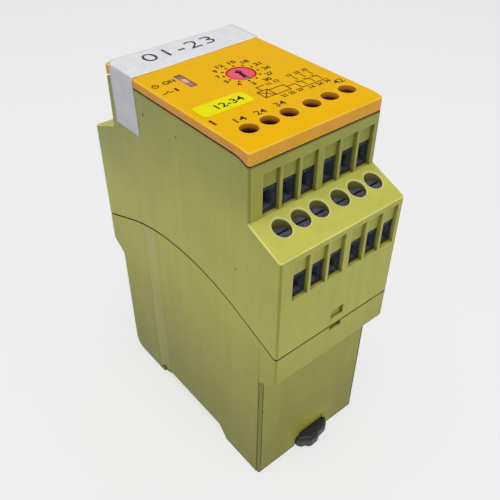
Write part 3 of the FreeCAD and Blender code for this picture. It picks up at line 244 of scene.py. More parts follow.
    # grime along the parting seam, and painted shade under the front plate
    arc = m.op("SUBTRACT", m.op("SQRT", m.op("MAXIMUM", m.op("SUBTRACT", 5776.0, m.op("MULTIPLY", ay, ay)), 1.0)), 2.4)
    line = m.op("SUBTRACT", 68.25, m.op("MULTIPLY", m.op("SUBTRACT", ay, 28.0), 0.397))
    seam = m.mix(m.ramp(ay, 27.9, 28.1), m.add("ShaderNodeCombineColor", {0: arc, 1: arc, 2: arc}).outputs[0], m.add("ShaderNodeCombineColor", {0: line, 1: line, 2: line}).outputs[0])
    seam = m.add("ShaderNodeSeparateColor", {0: seam}).outputs[0]
    off = m.op("ABSOLUTE", m.op("SUBTRACT", m.op("SUBTRACT", z, seam), 0.21))
    seam_grime_and_plate_shade = m.op("MULTIPLY", m.ramp(off, 0.44, 0.22), m.ramp(mid, 0.25, 0.6, 0.40, 0.85))
    drop = m.op("MAXIMUM", m.op("SUBTRACT", ay, 26.0), 0.0)
    under_plate = m.op("SUBTRACT", 118.55, m.op("MULTIPLY", m.op("MULTIPLY", drop, drop), 0.0496))
    top = m.ramp(m.op("SUBTRACT", under_plate, z), 0.42, 0.16)
    seam_grime_and_plate_shade = m.op("MAXIMUM", seam_grime_and_plate_shade, m.op("MULTIPLY", top, 0.85))
    c = m.mix(seam_grime_and_plate_shade, c, lin(74, 62, 10))
    # driver holes in the slopes: painted shade makes the bores dull, a painted highlight gives them a pale rim
    d = None
    for pole in POLES:
        e = m.op("ABSOLUTE", m.op("SUBTRACT", x, pole))
        d = e if d is None else m.op("MINIMUM", d, e)
    ey = m.op("SUBTRACT", ay, SLOPE_Y)
    r = m.op("SQRT", m.op("ADD", m.op("MULTIPLY", d, d), m.op("MULTIPLY", ey, ey)))
    slope_z = m.op("SUBTRACT", 101.5, m.op("MULTIPLY", m.op("SUBTRACT", ay, 31.5), 0.4))
    under = m.op("SUBTRACT", slope_z, z)
    row = m.op("MULTIPLY", m.ramp(z, 94.0, 95.0), m.ramp(ay, 32.0, 32.4))
    row_all = m.op("MULTIPLY", m.op("MULTIPLY", m.ramp(z, 95.6, 96.0), m.ramp(ay, 31.5, 31.8)), m.op("MAXIMUM", m.ramp(r, 2.9, 3.1), 0.0))
    bore = m.op("MULTIPLY", m.op("MULTIPLY", m.ramp(r, 2.72, 2.64), m.ramp(under, 0.20, 0.75)), row)
    c = m.mix(m.op("MULTIPLY", bore, 0.66), c, lin(112, 102, 52))
    rim_highlight = m.op("MULTIPLY", m.op("MULTIPLY", m.ramp(r, 2.98, 2.84), m.ramp(under, 0.45, 0.10)), row)
    c = m.mix(m.op("MULTIPLY", rim_highlight, 0.62), c, lin(234, 232, 176))
    # rubbed edges, partly wear and partly a painted highlight on every edge
    edge = m.edge(0.00040, 5.0)
    worn_and_highlit_edges = m.op("MULTIPLY", edge, m.ramp(mid, 0.34, 0.60, 0.45, 1.0))
    worn_and_highlit_edges = m.op("MULTIPLY", worn_and_highlit_edges, m.ramp(ao, 0.55, 0.9))
    c = m.mix(m.op("MULTIPLY", worn_and_highlit_edges, 0.50), c, lin(236, 234, 160))
    # painted highlight: the rounded edges of the slopes are made bright
    tilt = m.facing(2)
    rounded_edge_highlight = m.op("MULTIPLY", m.op("MULTIPLY", m.ramp(tilt, 0.12, 0.35), m.ramp(tilt, 0.905, 0.86)), row_all)
    c = m.mix(m.op("MULTIPLY", rounded_edge_highlight, m.ramp(mid, 0.3, 0.6, 0.35, 0.75)), c, lin(240, 238, 140))
    # darker along the lower edge, and below 4.9 mm in the middle of the length
    sole = m.op("MULTIPLY", m.ramp(z, 0.75, 0.15), m.ramp(mid, 0.25, 0.6, 0.45, 0.9))
    floor_edge = m.op("MULTIPLY", m.op("MULTIPLY", m.ramp(z, 5.5, 4.9), m.ramp(ay, 17.2, 16.8)), m.ramp(mid, 0.25, 0.6, 0.35, 0.75))
    c = m.mix(m.op("MULTIPLY", m.op("MAXIMUM", sole, floor_edge), 0.75), c, lin(92, 88, 40))
    # brighter, yellower patch above the foot
    patch = m.op("MULTIPLY", m.near((1.5, -38.0, 5.0), 9.0, 0.9), m.ramp(y, -36.5, -37.5))
    c = m.mix(m.op("MULTIPLY", patch, 0.45), c, lin(186, 184, 46))
    # specks of grime
    v = m.voronoi(150.0)
    pick = m.add("ShaderNodeSeparateColor", {0: v.outputs["Color"]})
    speck = m.op("MULTIPLY", m.ramp(v.outputs["Distance"], 0.045, 0.015), m.ramp(pick.outputs[0], 0.80, 0.86))
    c = m.mix(m.op("MULTIPLY", speck, 0.6), c, lin(70, 68, 34))
    # a few single dark marks: some where handling left them, and on the lower shell a painted shadow along the hook
    # notch
    for point, radius, depth in marks:
        c = m.mix(m.op("MULTIPLY", m.near(point, radius), depth), c, lin(66, 66, 30))
    # hairline scratches
    s1 = m.noise(1.0, 2.0, 0.5, vector=m.stretch(90.0, 30.0, 1400.0), distortion=0.4)
    hair = m.op("MULTIPLY", m.ramp(s1, 0.655, 0.68), m.ramp(s1, 0.70, 0.68))
    c = m.mix(m.op("MULTIPLY", hair, 0.10), c, lin(200, 202, 140))
    m.color(c)
    rr = m.op("ADD", 0.38, m.op("MULTIPLY", mid, 0.14))
    m.rough(m.op("ADD", rr, m.op("MULTIPLY", occlusion_shade_and_dirt, 0.15)))
    grain = m.bump(fine, 0.22, 0.00006)
    sink = m.bump(m.noise(75.0, 1.0, 0.4), 0.10, 0.0006, grain)
    m.normal(sink)
    return m


M = {}
# the last colour before the marks is the painted shade of each shell's flanks
M["upper"] = housing("upper_shell_plastic", lin(196, 193, 88), (0.86, 0.88, 0.84, 1), (0.86, 0.87, 0.93, 1), [
    ((-22.5, 13.0, 112.6), 0.45, 0.85), ((-22.5, -2.5, 112.4), 0.35, 0.8), ((-22.5, -26.6, 84.0), 0.32, 0.7), ((-22.5, -31.0, 86.5), 0.22, 0.5),
    ((-22.5, 14.6, 108.8), 0.25, 0.6), ((-22.5, 24.0, 95.0), 0.22, 0.5), ((-9.0, -43.5, 74.0), 0.28, 0.45), ((12.0, -43.5, 70.5), 0.25, 0.4)])
# the first five marks of the lower shell, along the hook notch, are painted shadow
M["lower"] = housing("lower_shell_plastic", lin(196, 193, 86), (0.51, 0.505, 0.25, 1), (0.87, 0.87, 0.86, 1), [
    ((-22.5, 20.5, 0.6), 0.7, 0.8), ((-22.5, 19.5, 1.6), 0.75, 0.8), ((-22.5, 18.3, 3.1), 0.75, 0.8), ((-22.5, 17.1, 4.6), 0.7, 0.75), ((-22.5, 15.6, 4.8), 0.6, 0.5), ((-22.5, -17.2, 4.9), 0.8, 0.4), ((-21.0, -38.0, 33.0), 0.30, 0.7), ((-20.9, -38.0, 18.0), 0.3, 0.6),
    ((-22.5, -5.0, 40.0), 0.25, 0.4), ((-22.5, 22.0, 28.0), 0.25, 0.4)])


def plate_plastic():
    m = Mat("front_plate_plastic", roughness=0.42, specular=0.10)
    x, y, z = m.xyz()
    ax, ay = m.op("ABSOLUTE", x), m.op("ABSOLUTE", y)
    mid = m.noise(140.0, 4.0, 0.6)
    big = m.noise(34.0, 2.0, 0.5)
    fine = m.noise(2200.0, 2.0, 0.6)
    streak = m.noise(1.0, 2.0, 0.6, vector=m.stretch(26.0, 420.0, 60.0))
    shade = m.op("ADD", 0.86, m.op("MULTIPLY", mid, 0.10))
    shade = m.op("ADD", shade, m.op("MULTIPLY", big, 0.06))
    shade = m.op("ADD", shade, m.op("MULTIPLY", m.op("SUBTRACT", streak, 0.5), 0.06))
    shade = m.op("ADD", shade, m.op("MULTIPLY", m.op("SUBTRACT", fine, 0.5), 0.04))
    c = m.scale_color(lin(243, 185, 0), shade)
    # the skirt: browner and duller on the flanks, golden on the ends, with a pale lower edge; the flanks' duller
    # colour is painted shade
    flank = m.mix(m.ramp(mid, 0.35, 0.65), lin(228, 154, 58), lin(230, 162, 82))
    end = m.mix(m.ramp(mid, 0.35, 0.65), lin(246, 178, 44), lin(244, 178, 66))
    skirt = m.mix(m.ramp(m.facing(1), 0.3, 0.8), flank, end)
    c = m.mix(m.ramp(z, TOP - 0.35, TOP - 0.9), c, m.scale_color(skirt, shade))
    # painted shade: darker where the occlusion node finds corners and gaps
    ao = m.occlusion(0.0018)
    c = m.mix(m.op("MULTIPLY", m.ramp(ao, 0.85, 0.35), 0.70), c, lin(140, 62, 8))
    # painted highlight on every edge, the skirt's pale lower edge among them
    edge = m.edge(0.0005, 4.0)
    c = m.mix(m.op("MULTIPLY", m.op("MULTIPLY", edge, m.ramp(ao, 0.6, 0.9)), 0.34), c, lin(250, 212, 96))
    # painted highlight on the rounded edges between the plate's face and skirt
    tilt = m.facing(2)
    rounded_edge_highlight = m.op("MULTIPLY", m.op("MULTIPLY", m.ramp(tilt, 0.15, 0.4), m.ramp(tilt, 0.97, 0.85)), m.ramp(z, TOP - 1.1, TOP - 0.9))
    c = m.mix(m.op("MULTIPLY", rounded_edge_highlight, m.ramp(mid, 0.3, 0.6, 0.25, 0.6)), c, lin(252, 216, 92))
    # bores of the driver holes and the dial: painted light, golden to reddish as if light came through the moulding,
    # and painted shade, dark violet, low in the driver-hole bores
    d = None
    for pole in POLES:
        e = m.op("ABSOLUTE", m.op("SUBTRACT", x, pole))
        d = e if d is None else m.op("MINIMUM", d, e)
    ey = m.op("SUBTRACT", ay, 23.0)
    r = m.op("SQRT", m.op("ADD", m.op("MULTIPLY", d, d), m.op("MULTIPLY", ey, ey)))
    bore = m.op("MULTIPLY", m.ramp(r, 2.50, 2.42), m.ramp(z, TOP - 0.12, TOP - 0.45))
    wall = m.mix(m.ramp(z, TOP - 0.5, TOP - 1.4), lin(255, 190, 40), lin(232, 132, 30))
    c = m.mix(bore, c, m.mix(m.ramp(z, TOP - 1.35, TOP - 1.62), wall, lin(112, 58, 88)))
    dx, dy = m.op("SUBTRACT", x, DIAL.x), m.op("SUBTRACT", y, DIAL.y)
    rd = m.op("SQRT", m.op("ADD", m.op("MULTIPLY", dx, dx), m.op("MULTIPLY", dy, dy)))
    c = m.mix(m.ramp(rd, 4.34, 4.18), c, lin(236, 70, 44))
    v = m.voronoi(210.0)
    pick = m.add("ShaderNodeSeparateColor", {0: v.outputs["Color"]})
    speck = m.op("MULTIPLY", m.ramp(v.outputs["Distance"], 0.05, 0.015), m.ramp(pick.outputs[0], 0.86, 0.9))
    c = m.mix(m.op("MULTIPLY", speck, 0.4), c, lin(150, 92, 14))
    m.color(c)
    m.rough(m.op("ADD", 0.34, m.op("MULTIPLY", mid, 0.16)))
    m.normal(m.bump(m.noise(95.0, 1.0, 0.4), 0.12, 0.0005, m.bump(fine, 0.14, 0.00005)))
    return m


M["plate"] = plate_plastic()


def dark_plastic(name, base, dust_and_edge_sheen, rough=0.42, grain=0.3):
    m = Mat(name, roughness=rough, specular=0.5)
    mid = m.noise(300.0, 4.0, 0.6)
    fine = m.noise(2400.0, 2.0, 0.6)
    c = m.scale_color(base, m.op("ADD", 0.75, m.op("MULTIPLY", mid, 0.5)))
    # painted highlight: edges lightened towards the dust colour
    edge = m.edge(0.0004, 5.0)
    c = m.mix(m.op("MULTIPLY", edge, 0.35), c, dust_and_edge_sheen)
    c = m.mix(m.op("MULTIPLY", m.ramp(mid, 0.62, 0.8), 0.25), c, dust_and_edge_sheen)
    m.color(c)
    m.rough(m.op("ADD", rough - 0.08, m.op("MULTIPLY", mid, 0.2)))
    m.normal(m.bump(fine, grain, 0.00006))
    return m


M["foot"] = dark_plastic("foot_plastic", lin(46, 48, 54), lin(92, 94, 98), 0.42)
M["block"] = dark_plastic("block_plastic", lin(30, 33, 42), lin(70, 74, 84), 0.55)
M["black"] = dark_plastic("black_case", lin(28, 28, 30), lin(80, 80, 80), 0.5)
M["switch"] = dark_plastic("switch_case", lin(34, 34, 36), lin(90, 90, 92), 0.5)


def metal(name, base, tint, rough=0.35, metallic=0.9, occlusion_shade_and_dirt=0.5, brush=(900.0, 900.0, 90.0), ribs=0.0):
    m = Mat(name, roughness=rough, metallic=metallic)
    mid = m.noise(420.0, 4.0, 0.6)
    if ribs:
        # painted shade: the mouths in the openings keep the dull dark colour, the clamp faces further inside are
        # brighter
        x, y, z = m.xyz()
        ay = m.op("ABSOLUTE", y)
        low = m.op("MULTIPLY", m.ramp(z, 96.5, 96.0), m.ramp(ay, 42.1, 41.9))
        high = m.op("MULTIPLY", m.ramp(z, 98.0, 99.0), m.ramp(ay, 30.1, 29.9))
        inner = m.op("MAXIMUM", low, high)
        base = m.mix(inner, base, lin(112, 124, 148))
        tint = m.mix(inner, tint, lin(80, 90, 110))
        # painted sheen: lighter streaks along z stand for the light on rolled ribs
        rolled = m.noise(1.0, 1.0, 0.4, vector=m.stretch(1500.0, 300.0, 12.0))
        base = m.mix(m.op("MULTIPLY", m.ramp(rolled, 0.44, 0.60), ribs), base, lin(126, 128, 146))
    brushed = m.noise(1.0, 2.0, 0.6, vector=m.stretch(*[b * 4 for b in brush]))
    c = m.mix(m.ramp(mid, 0.38, 0.66), base, tint)
    # painted shade, with some dirt: darker where the occlusion node finds crevices
    ao = m.occlusion(0.0012)
    c = m.mix(m.op("MULTIPLY", m.ramp(ao, 0.8, 0.3), occlusion_shade_and_dirt), c, lin(24, 22, 24))
    # painted highlight on every edge
    edge = m.edge(0.00025, 6.0)
    c = m.mix(m.op("MULTIPLY", edge, 0.3 if not ribs else 0.06), c, lin(225, 225, 228))
    m.color(c)
    m.rough(m.op("ADD", rough - 0.1, m.op("MULTIPLY", mid, 0.25)))
    m.normal(m.bump(brushed, 0.12, 0.00004))
    return m


# the cage's dark navy base is painted shade for the mouths seen in the openings
M["cage"] = metal("clamp_cage_steel", lin(30, 38, 50), lin(25, 32, 43), 0.50, 0.2, 0.35, ribs=0.22)
M["screw"] = metal("clamp_screw_steel", lin(122, 122, 148), lin(86, 88, 110), 0.36, 0.7, 0.35)
M["bar"] = metal("tinned_bar", lin(190, 188, 180), lin(160, 156, 146), 0.35, 0.9, 0.4)
M["spring"] = metal("spring_wire", lin(170, 172, 176), lin(140, 142, 148), 0.3, 0.95, 0.4)


def dial_plastic():
    m = Mat("dial_plastic", roughness=0.36, specular=0.3)
    x, y, z = m.xyz()
    mid = m.noise(500.0, 3.0, 0.6)
    dx, dy = m.op("SUBTRACT", x, DIAL.x), m.op("SUBTRACT", y, DIAL.y)
    r = m.op("SQRT", m.op("ADD", m.op("MULTIPLY", dx, dx), m.op("MULTIPLY", dy, dy)))
    c = m.mix(m.ramp(r, 3.05, 3.75), lin(228, 90, 124), lin(238, 70, 62))
    c = m.scale_color(c, m.op("ADD", 0.9, m.op("MULTIPLY", mid, 0.2)))
    # grey-olive grime at the slot's open end
    tail = m.op("MULTIPLY", m.ramp(m.near((DIAL.x - 0.45, DIAL.y - 3.1, DIAL.z), 1.25, 0.5), 0.1, 0.9), 0.75)
    c = m.mix(tail, c, lin(150, 118, 96))
    # painted shade: dark red deep in the slot and below the dial's top
    deep = m.ramp(z, DIAL.z - 0.38, DIAL.z - 0.60)
    inside = m.op("MULTIPLY", deep, m.ramp(r, 3.80, 3.70))
    c = m.mix(inside, c, lin(96, 4, 20))
    m.color(c)
    m.rough(m.op("ADD", 0.26, m.op("MULTIPLY", mid, 0.2)))
    m.normal(m.bump(m.noise(2600.0, 2.0), 0.15, 0.00004))
    return m


M["dial"] = dial_plastic()


def lens_plastic():
    m = Mat("lens_plastic", roughness=0.22, specular=0.6)
    x, y, z = m.xyz()
    lo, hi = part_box("status_lens")
    cy = (lo.y + hi.y) / 2 / MM
    cx = (lo.x + hi.x) / 2 / MM
    mid = m.noise(500.0, 3.0, 0.6)
    dy = m.op("SUBTRACT", y, cy)
    # one tinted strip: grey-green over the upper lamp, blush in the middle, mauve over the lower one
    dx = m.op("SUBTRACT", x, cx)
    c = m.mix(m.ramp(dy, 1.9, 0.9), lin(122, 128, 112), lin(222, 178, 154))
    c = m.mix(m.ramp(dy, -0.4, -1.7), c, lin(176, 116, 140))
    frame_x = m.ramp(m.op("ABSOLUTE", dx), 0.62, 0.88)
    frame_y = m.ramp(m.op("ABSOLUTE", dy), 3.0, 3.5)
    c = m.mix(m.op("MULTIPLY", m.op("MAXIMUM", frame_x, frame_y), 0.9), c, lin(136, 66, 66))
    c = m.scale_color(c, m.op("ADD", 0.88, m.op("MULTIPLY", mid, 0.24)))
    m.color(c)
    m.normal(m.bump(m.noise(900.0, 2.0), 0.1, 0.00005))
    return m


M["lens"] = lens_plastic()


def film(name, base, shade, rough, specks=0.3, wrinkle=0.25, specular=0.35):
    m = Mat(name, roughness=rough, specular=specular)
    mid = m.noise(230.0, 4.0, 0.6)
    fine = m.noise(3000.0, 2.0, 0.6)
    c = m.mix(m.ramp(mid, 0.35, 0.7), base, shade)
    # painted shade: faces turned across are darker
    c = m.mix(m.ramp(m.facing(0), 0.5, 0.85), c, m.mix(1.0, c, (0.76, 0.765, 0.79, 1), "MULTIPLY"))
    v = m.voronoi(420.0)
    pick = m.add("ShaderNodeSeparateColor", {0: v.outputs["Color"]})
    speck = m.op("MULTIPLY", m.ramp(v.outputs["Distance"], 0.08, 0.03), m.ramp(pick.outputs[0], 0.9, 0.93))
    c = m.mix(m.op("MULTIPLY", speck, specks), c, lin(120, 118, 110))
    m.color(c)
    m.rough(m.op("ADD", rough - 0.06, m.op("MULTIPLY", mid, 0.14)))
    m.normal(m.bump(m.noise(160.0, 2.0), wrinkle, 0.0002, m.bump(fine, 0.12, 0.00004)))
    return m


M["tape"] = film("tape_film", lin(232, 232, 234), lin(222, 222, 224), 0.42)
M["sticker"] = film("sticker_film", lin(234, 229, 2), lin(228, 218, 3), 0.38, 0.2, 0.25, 0.08)


def ink(name, base, rough=0.5):
    m = Mat(name, roughness=rough, specular=0.12)
    mid = m.noise(1500.0, 3.0, 0.6)
    m.color(m.mix(m.ramp(mid, 0.3, 0.75), base, m_lighter(base)))
    m.normal(m.bump(mid, 0.15, 0.00002))
    return m


def m_lighter(c):
    return (c[0] * 1.6 + 0.012, c[1] * 1.6 + 0.010, c[2] * 1.6 + 0.006, 1.0)


M["print"] = ink("legend_ink", lin(66, 40, 12))
M["tape_ink"] = ink("tape_ink", lin(58, 60, 66))
M["sticker_ink"] = ink("sticker_ink", lin(34, 36, 10))


def simple(name, a, b, rough, scale=300.0, metallic=0.0):
    m = Mat(name, roughness=rough, metallic=metallic)
    mid = m.noise(scale, 4.0, 0.6)
    c = m.mix(m.ramp(mid, 0.35, 0.68), a, b)
    # painted highlight on every edge
    c = m.mix(m.op("MULTIPLY", m.edge(0.0004, 5.0), 0.2), c, m_lighter(a))
    m.color(c)
    m.rough(m.op("ADD", rough - 0.06, m.op("MULTIPLY", mid, 0.14)))
    m.normal(m.bump(m.noise(scale * 7, 2.0), 0.15, 0.00005))
    return m


M["laminate"] = simple("board_laminate", lin(28, 104, 52), lin(20, 84, 42), 0.34, 500.0)
M["relay"] = simple("relay_case", lin(38, 70, 128), lin(32, 60, 112), 0.4)
M["sleeve"] = simple("can_sleeve", lin(26, 30, 44), lin(36, 40, 56), 0.28)
M["film_case"] = simple("film_case", lin(168, 52, 36), lin(150, 42, 30), 0.35)
M["disc"] = simple("disc_coat", lin(40, 84, 140), lin(34, 70, 120), 0.36)
M["green"] = simple("green_lamp", lin(70, 170, 90), lin(58, 150, 78), 0.25)
M["yellow"] = simple("yellow_lamp", lin(214, 186, 60), lin(198, 168, 48), 0.25)

for name, obj in NODES.items():
    if name == "upper_housing":
        key = "upper"
    elif name == "lower_housing":
        key = "lower"
    elif name == "front_plate":
        key = "plate"
    elif name == "rail_foot":
        key = "foot"
    elif name == "foot_spring":
        key = "spring"
    elif name == "time_dial":
        key = "dial"
    elif name == "dial_switch_body":
        key = "switch"
    elif name == "status_lens":
        key = "lens"
    elif name == "power_led":
        key = "green"
    elif name == "output_led":
        key = "yellow"
    elif name == "tape_label":
        key = "tape"
    elif name == "number_sticker":
        key = "sticker"
    elif name.startswith("terminal_block"):
        key = "block"
    elif name.startswith("clamp_cages"):
        key = "cage"
    elif name.startswith("terminal_screws"):
        key = "screw"
    elif name.startswith("current_bars"):
        key = "bar"
    elif name in ("main_board", "upper_board", "front_board", "relay_board"):
        key = "laminate"
    elif name.startswith("safety_relay"):
        key = "relay"
    elif name in ("smoothing_capacitor", "timing_capacitor"):
        key = "sleeve"
    elif name == "film_capacitor":
        key = "film_case"
    elif name == "varistor":
        key = "disc"
    else:
        key = "black"
    paint(obj, M[key])


# ---------------------------------------------------------------- pieces
def mesh_object(name, bm, material, body="housing", smooth=False):
    me = bpy.data.meshes.new(name)
    bmesh.ops.recalc_face_normals(bm, faces=bm.faces)
    bm.to_mesh(me)
    bm.free()
    if smooth:
        for p in me.polygons:
            p.use_smooth = True
    ob = bpy.data.objects.new(name, me)
    scene.collection.objects.link(ob)
    paint(ob, material)
    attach(ob, body)
    return ob


def shoulder(y):
    """How far the front plate's curved ends drop below its flat face at y, in mm."""
    bend, radius = 27.0, 18.6
    d = abs(y) - bend
    if d <= 0:
        return 0.0
    # the arc starts a little below its own crown, so the drop is measured from the arc's start
    chord = math.hypot(4.5, 0.55)
    back = math.sqrt(radius ** 2 - chord ** 2 / 4)
    mx, mz = bend + 2.25, -0.275
    nx, nz = -0.55 / chord, -4.5 / chord
    cx, cz = mx + nx * back, mz + nz * back
    return -(cz + math.sqrt(max(radius ** 2 - (bend + d - cx) ** 2, 0.0)))


def text_mesh(text, height, width=None, spacing=1.0, weight=0.0, slant=0.0):
    """A filled outline of plain digits and signs, its size set by its own box: bmesh in mm, centred."""
    cu = bpy.data.curves.new("outline", "FONT")
    cu.body = text
    cu.size = 1.0
    cu.space_character = spacing
    cu.shear = slant
    cu.offset = weight
    cu.resolution_u = 4
    cu.extrude = 0.5
    ob = bpy.data.objects.new("outline", cu)
    scene.collection.objects.link(ob)
    dg = bpy.context.evaluated_depsgraph_get()
    dg.update()
    me = bpy.data.meshes.new_from_object(ob.evaluated_get(dg))
    bm = bmesh.new()
    bm.from_mesh(me)
    bpy.data.objects.remove(ob)
    bpy.data.curves.remove(cu)
    bpy.data.meshes.remove(me)
    bmesh.ops.remove_doubles(bm, verts=bm.verts, dist=1e-5)
    xs = [v.co.x for v in bm.verts]
    ys = [v.co.y for v in bm.verts]
    cx, cy = (min(xs) + max(xs)) / 2, (min(ys) + max(ys)) / 2
    k = height / (max(ys) - min(ys))
    kx = k if width is None else width / (max(xs) - min(xs))
    for v in bm.verts:
        v.co = Vector(((v.co.x - cx) * kx, (v.co.y - cy) * k, v.co.z))
    return bm


def lay(bm, x, y, angle=0.0, lift=0.03, sink=0.05, base=None):
    """Turns a flat bmesh (mm, z -0.5..0.5) into a thin print on the front plate, in metres."""
    ca, sa = math.cos(angle), math.sin(angle)
    for v in bm.verts:
        px = x + v.co.x * ca - v.co.y * sa
        py = y + v.co.x * sa + v.co.y * ca
        level = (TOP if base is None else base) - shoulder(py)
        z = level + (lift if v.co.z > 0 else -sink)
        v.co = Vector((px, py, z)) * MM
    return bm


def join(parts):
    out = bmesh.new()
    for b in parts:
        me = bpy.data.meshes.new("part")
        b.to_mesh(me)
        b.free()
        out.from_mesh(me)
        bpy.data.meshes.remove(me)
    return out


def prism(points):
    """Closed flat prism over a polygon (mm), z -0.5..0.5"""
    bm = bmesh.new()
    lo = [bm.verts.new((a, b, -0.5)) for a, b in points]
    hi = [bm.verts.new((a, b, 0.5)) for a, b in points]
    bm.faces.new(lo[::-1])
    bm.faces.new(hi)
    n = len(points)
    for i in range(n):
        bm.faces.new((lo[i], lo[(i + 1) % n], hi[(i + 1) % n], hi[i]))
    return bm


def line(a, b, w):
    """Rule of width w between two points, its ends run on by half its width."""
    d = Vector((b[0] - a[0], b[1] - a[1]))
    d.normalize()
    n = Vector((-d.y, d.x)) * (w / 2)
    e = d * (w / 2)
    p, q = Vector(a), Vector(b)
    return prism([tuple(p - e - n), tuple(q + e - n), tuple(q + e + n), tuple(p - e + n)])


def disc(x, y, r, n=14):
    return prism([(x + r * math.cos(2 * math.pi * i / n), y + r * math.sin(2 * math.pi * i / n)) for i in range(n)])


def path(points, w):
    return [line(points[i], points[i + 1], w) for i in range(len(points) - 1)]


# dial scale: a ring of dots with plain numbers outside it
numbers = ((191, 7.1, "3"), (223, 6.8, "4"), (255, 6.5, "5"), (288, 6.5, "7"), (318, 7.1, "9"), (346, 7.4, "12"),
           (18.5, 7.6, "15"), (46.7, 7.8, "18"), (74.4, 7.7, "21"), (100.6, 7.8, "24"), (129.6, 7.6, "27"), (157, 7.9, "30"))
parts = []
for k in range(12):
    a = math.radians(14 + 30 * k)
    parts.append(lay(disc(DIAL.x + 5.1 * math.sin(a), DIAL.y + 5.1 * math.cos(a), 0.40), 0, 0))
for deg, r, label in numbers:
    a = math.radians(deg)
    parts.append(lay(text_mesh(label, 1.75, 1.15 * len(label) + 0.15 * (len(label) - 1), 0.95, 0.032), DIAL.x + r * math.sin(a), DIAL.y + r * math.cos(a)))
mesh_object("dial_scale_print", join(parts), M["print"])

# terminal numbers beside the driver holes
parts = []
for label, px, py in (("14", -14.2, -18.5), ("24", -8.1, -18.7), ("34", -1.5, -18.4), ("42", 19.25, -18.4)):
    parts.append(lay(text_mesh(label, 2.15, 3.25, 0.95, 0.004), px, py))
mesh_object("terminal_numbers_print", join(parts), M["print"])

# status marks: a power sign with ON, and a contact sign with 1
parts = [lay(text_mesh("ON", 1.9, 3.7, 1.0, 0.03), -16.0, 9.0)]
ring = []
for i in range(13):
    a = math.radians(125 + i * 24.2)
    ring.append((-20.3 + 0.85 * math.cos(a), 8.8 + 0.85 * math.sin(a)))
for seg in path(ring, 0.30):
    parts.append(lay(seg, 0, 0))
parts.append(lay(line((-20.3, 8.9), (-20.3, 9.95), 0.30), 0, 0))
parts.append(lay(text_mesh("1", 1.9, 0.75, 1.0, 0.012), -16.9, 4.05))
for seg in path([(-21.3, 3.7), (-20.4, 3.7)], 0.30) + path([(-20.4, 3.7), (-19.1, 4.6)], 0.30) + path([(-19.2, 3.7), (-18.3, 3.7)], 0.30):
    parts.append(lay(seg, 0, 0))
mesh_object("status_marks_print", join(parts), M["print"])

# wiring sketch: a coil box, its feed loop and three contacts
w = 0.30
segs = []
segs += path([(-2.0, -13.9), (1.4, -13.9), (1.4, -10.3), (-2.0, -10.3), (-2.0, -13.9)], w)
segs += path([(-2.0, -13.9), (1.4, -10.3)], w) + path([(-2.0, -10.3), (1.4, -13.9)], w)
segs += path([(1.4, -10.9), (6.4, -10.9), (6.4, -14.0), (1.4, -14.0)], w)
segs += path([(-0.3, -10.3), (-0.3, -7.9), (2.2, -7.9)], w)
segs += path([(6.4, -12.3), (9.3, -12.3), (9.3, -15.2), (18.2, -15.2)], w)
for cx in (11.6, 14.4, 17.2):
    segs += path([(cx, -8.9), (cx, -10.9)], w) + path([(cx - 1.1, -11.3), (cx, -13.0), (cx, -14.4)], w)
segs += path([(10.2, -12.2), (12.4, -12.2)], w * 0.8) + path([(12.9, -12.2), (15.1, -12.2)], w * 0.8) + path([(15.6, -12.2), (17.6, -12.2)], w * 0.8)
parts = [lay(s, 0, 0) for s in segs]
for label, px, py in (("11", 3.7, -8.1), ("12", 6.5, -8.1), ("21", 2.4, -15.8), ("22", 5.1, -15.8), ("23", 7.8, -15.8), ("13", 11.5, -7.6), ("23", 14.3, -7.6), ("33", 17.1, -7.6),
                      ("14", 11.5, -16.5), ("24", 14.3, -16.5), ("34", 17.1, -16.5)):
    parts.append(lay(text_mesh(label, 1.5, None, 0.95, 0.028), px, py))
mesh_object("wiring_sketch_print", join(parts), M["print"])

# sticker digits
sl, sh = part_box("number_sticker")
mesh_object("sticker_digits", lay(text_mesh("12-34", 2.5, 8.6, 1.0, 0.012), -10.9, -10.2, 0.03, 0.03, 0.03, sh.z / MM), M["sticker_ink"])


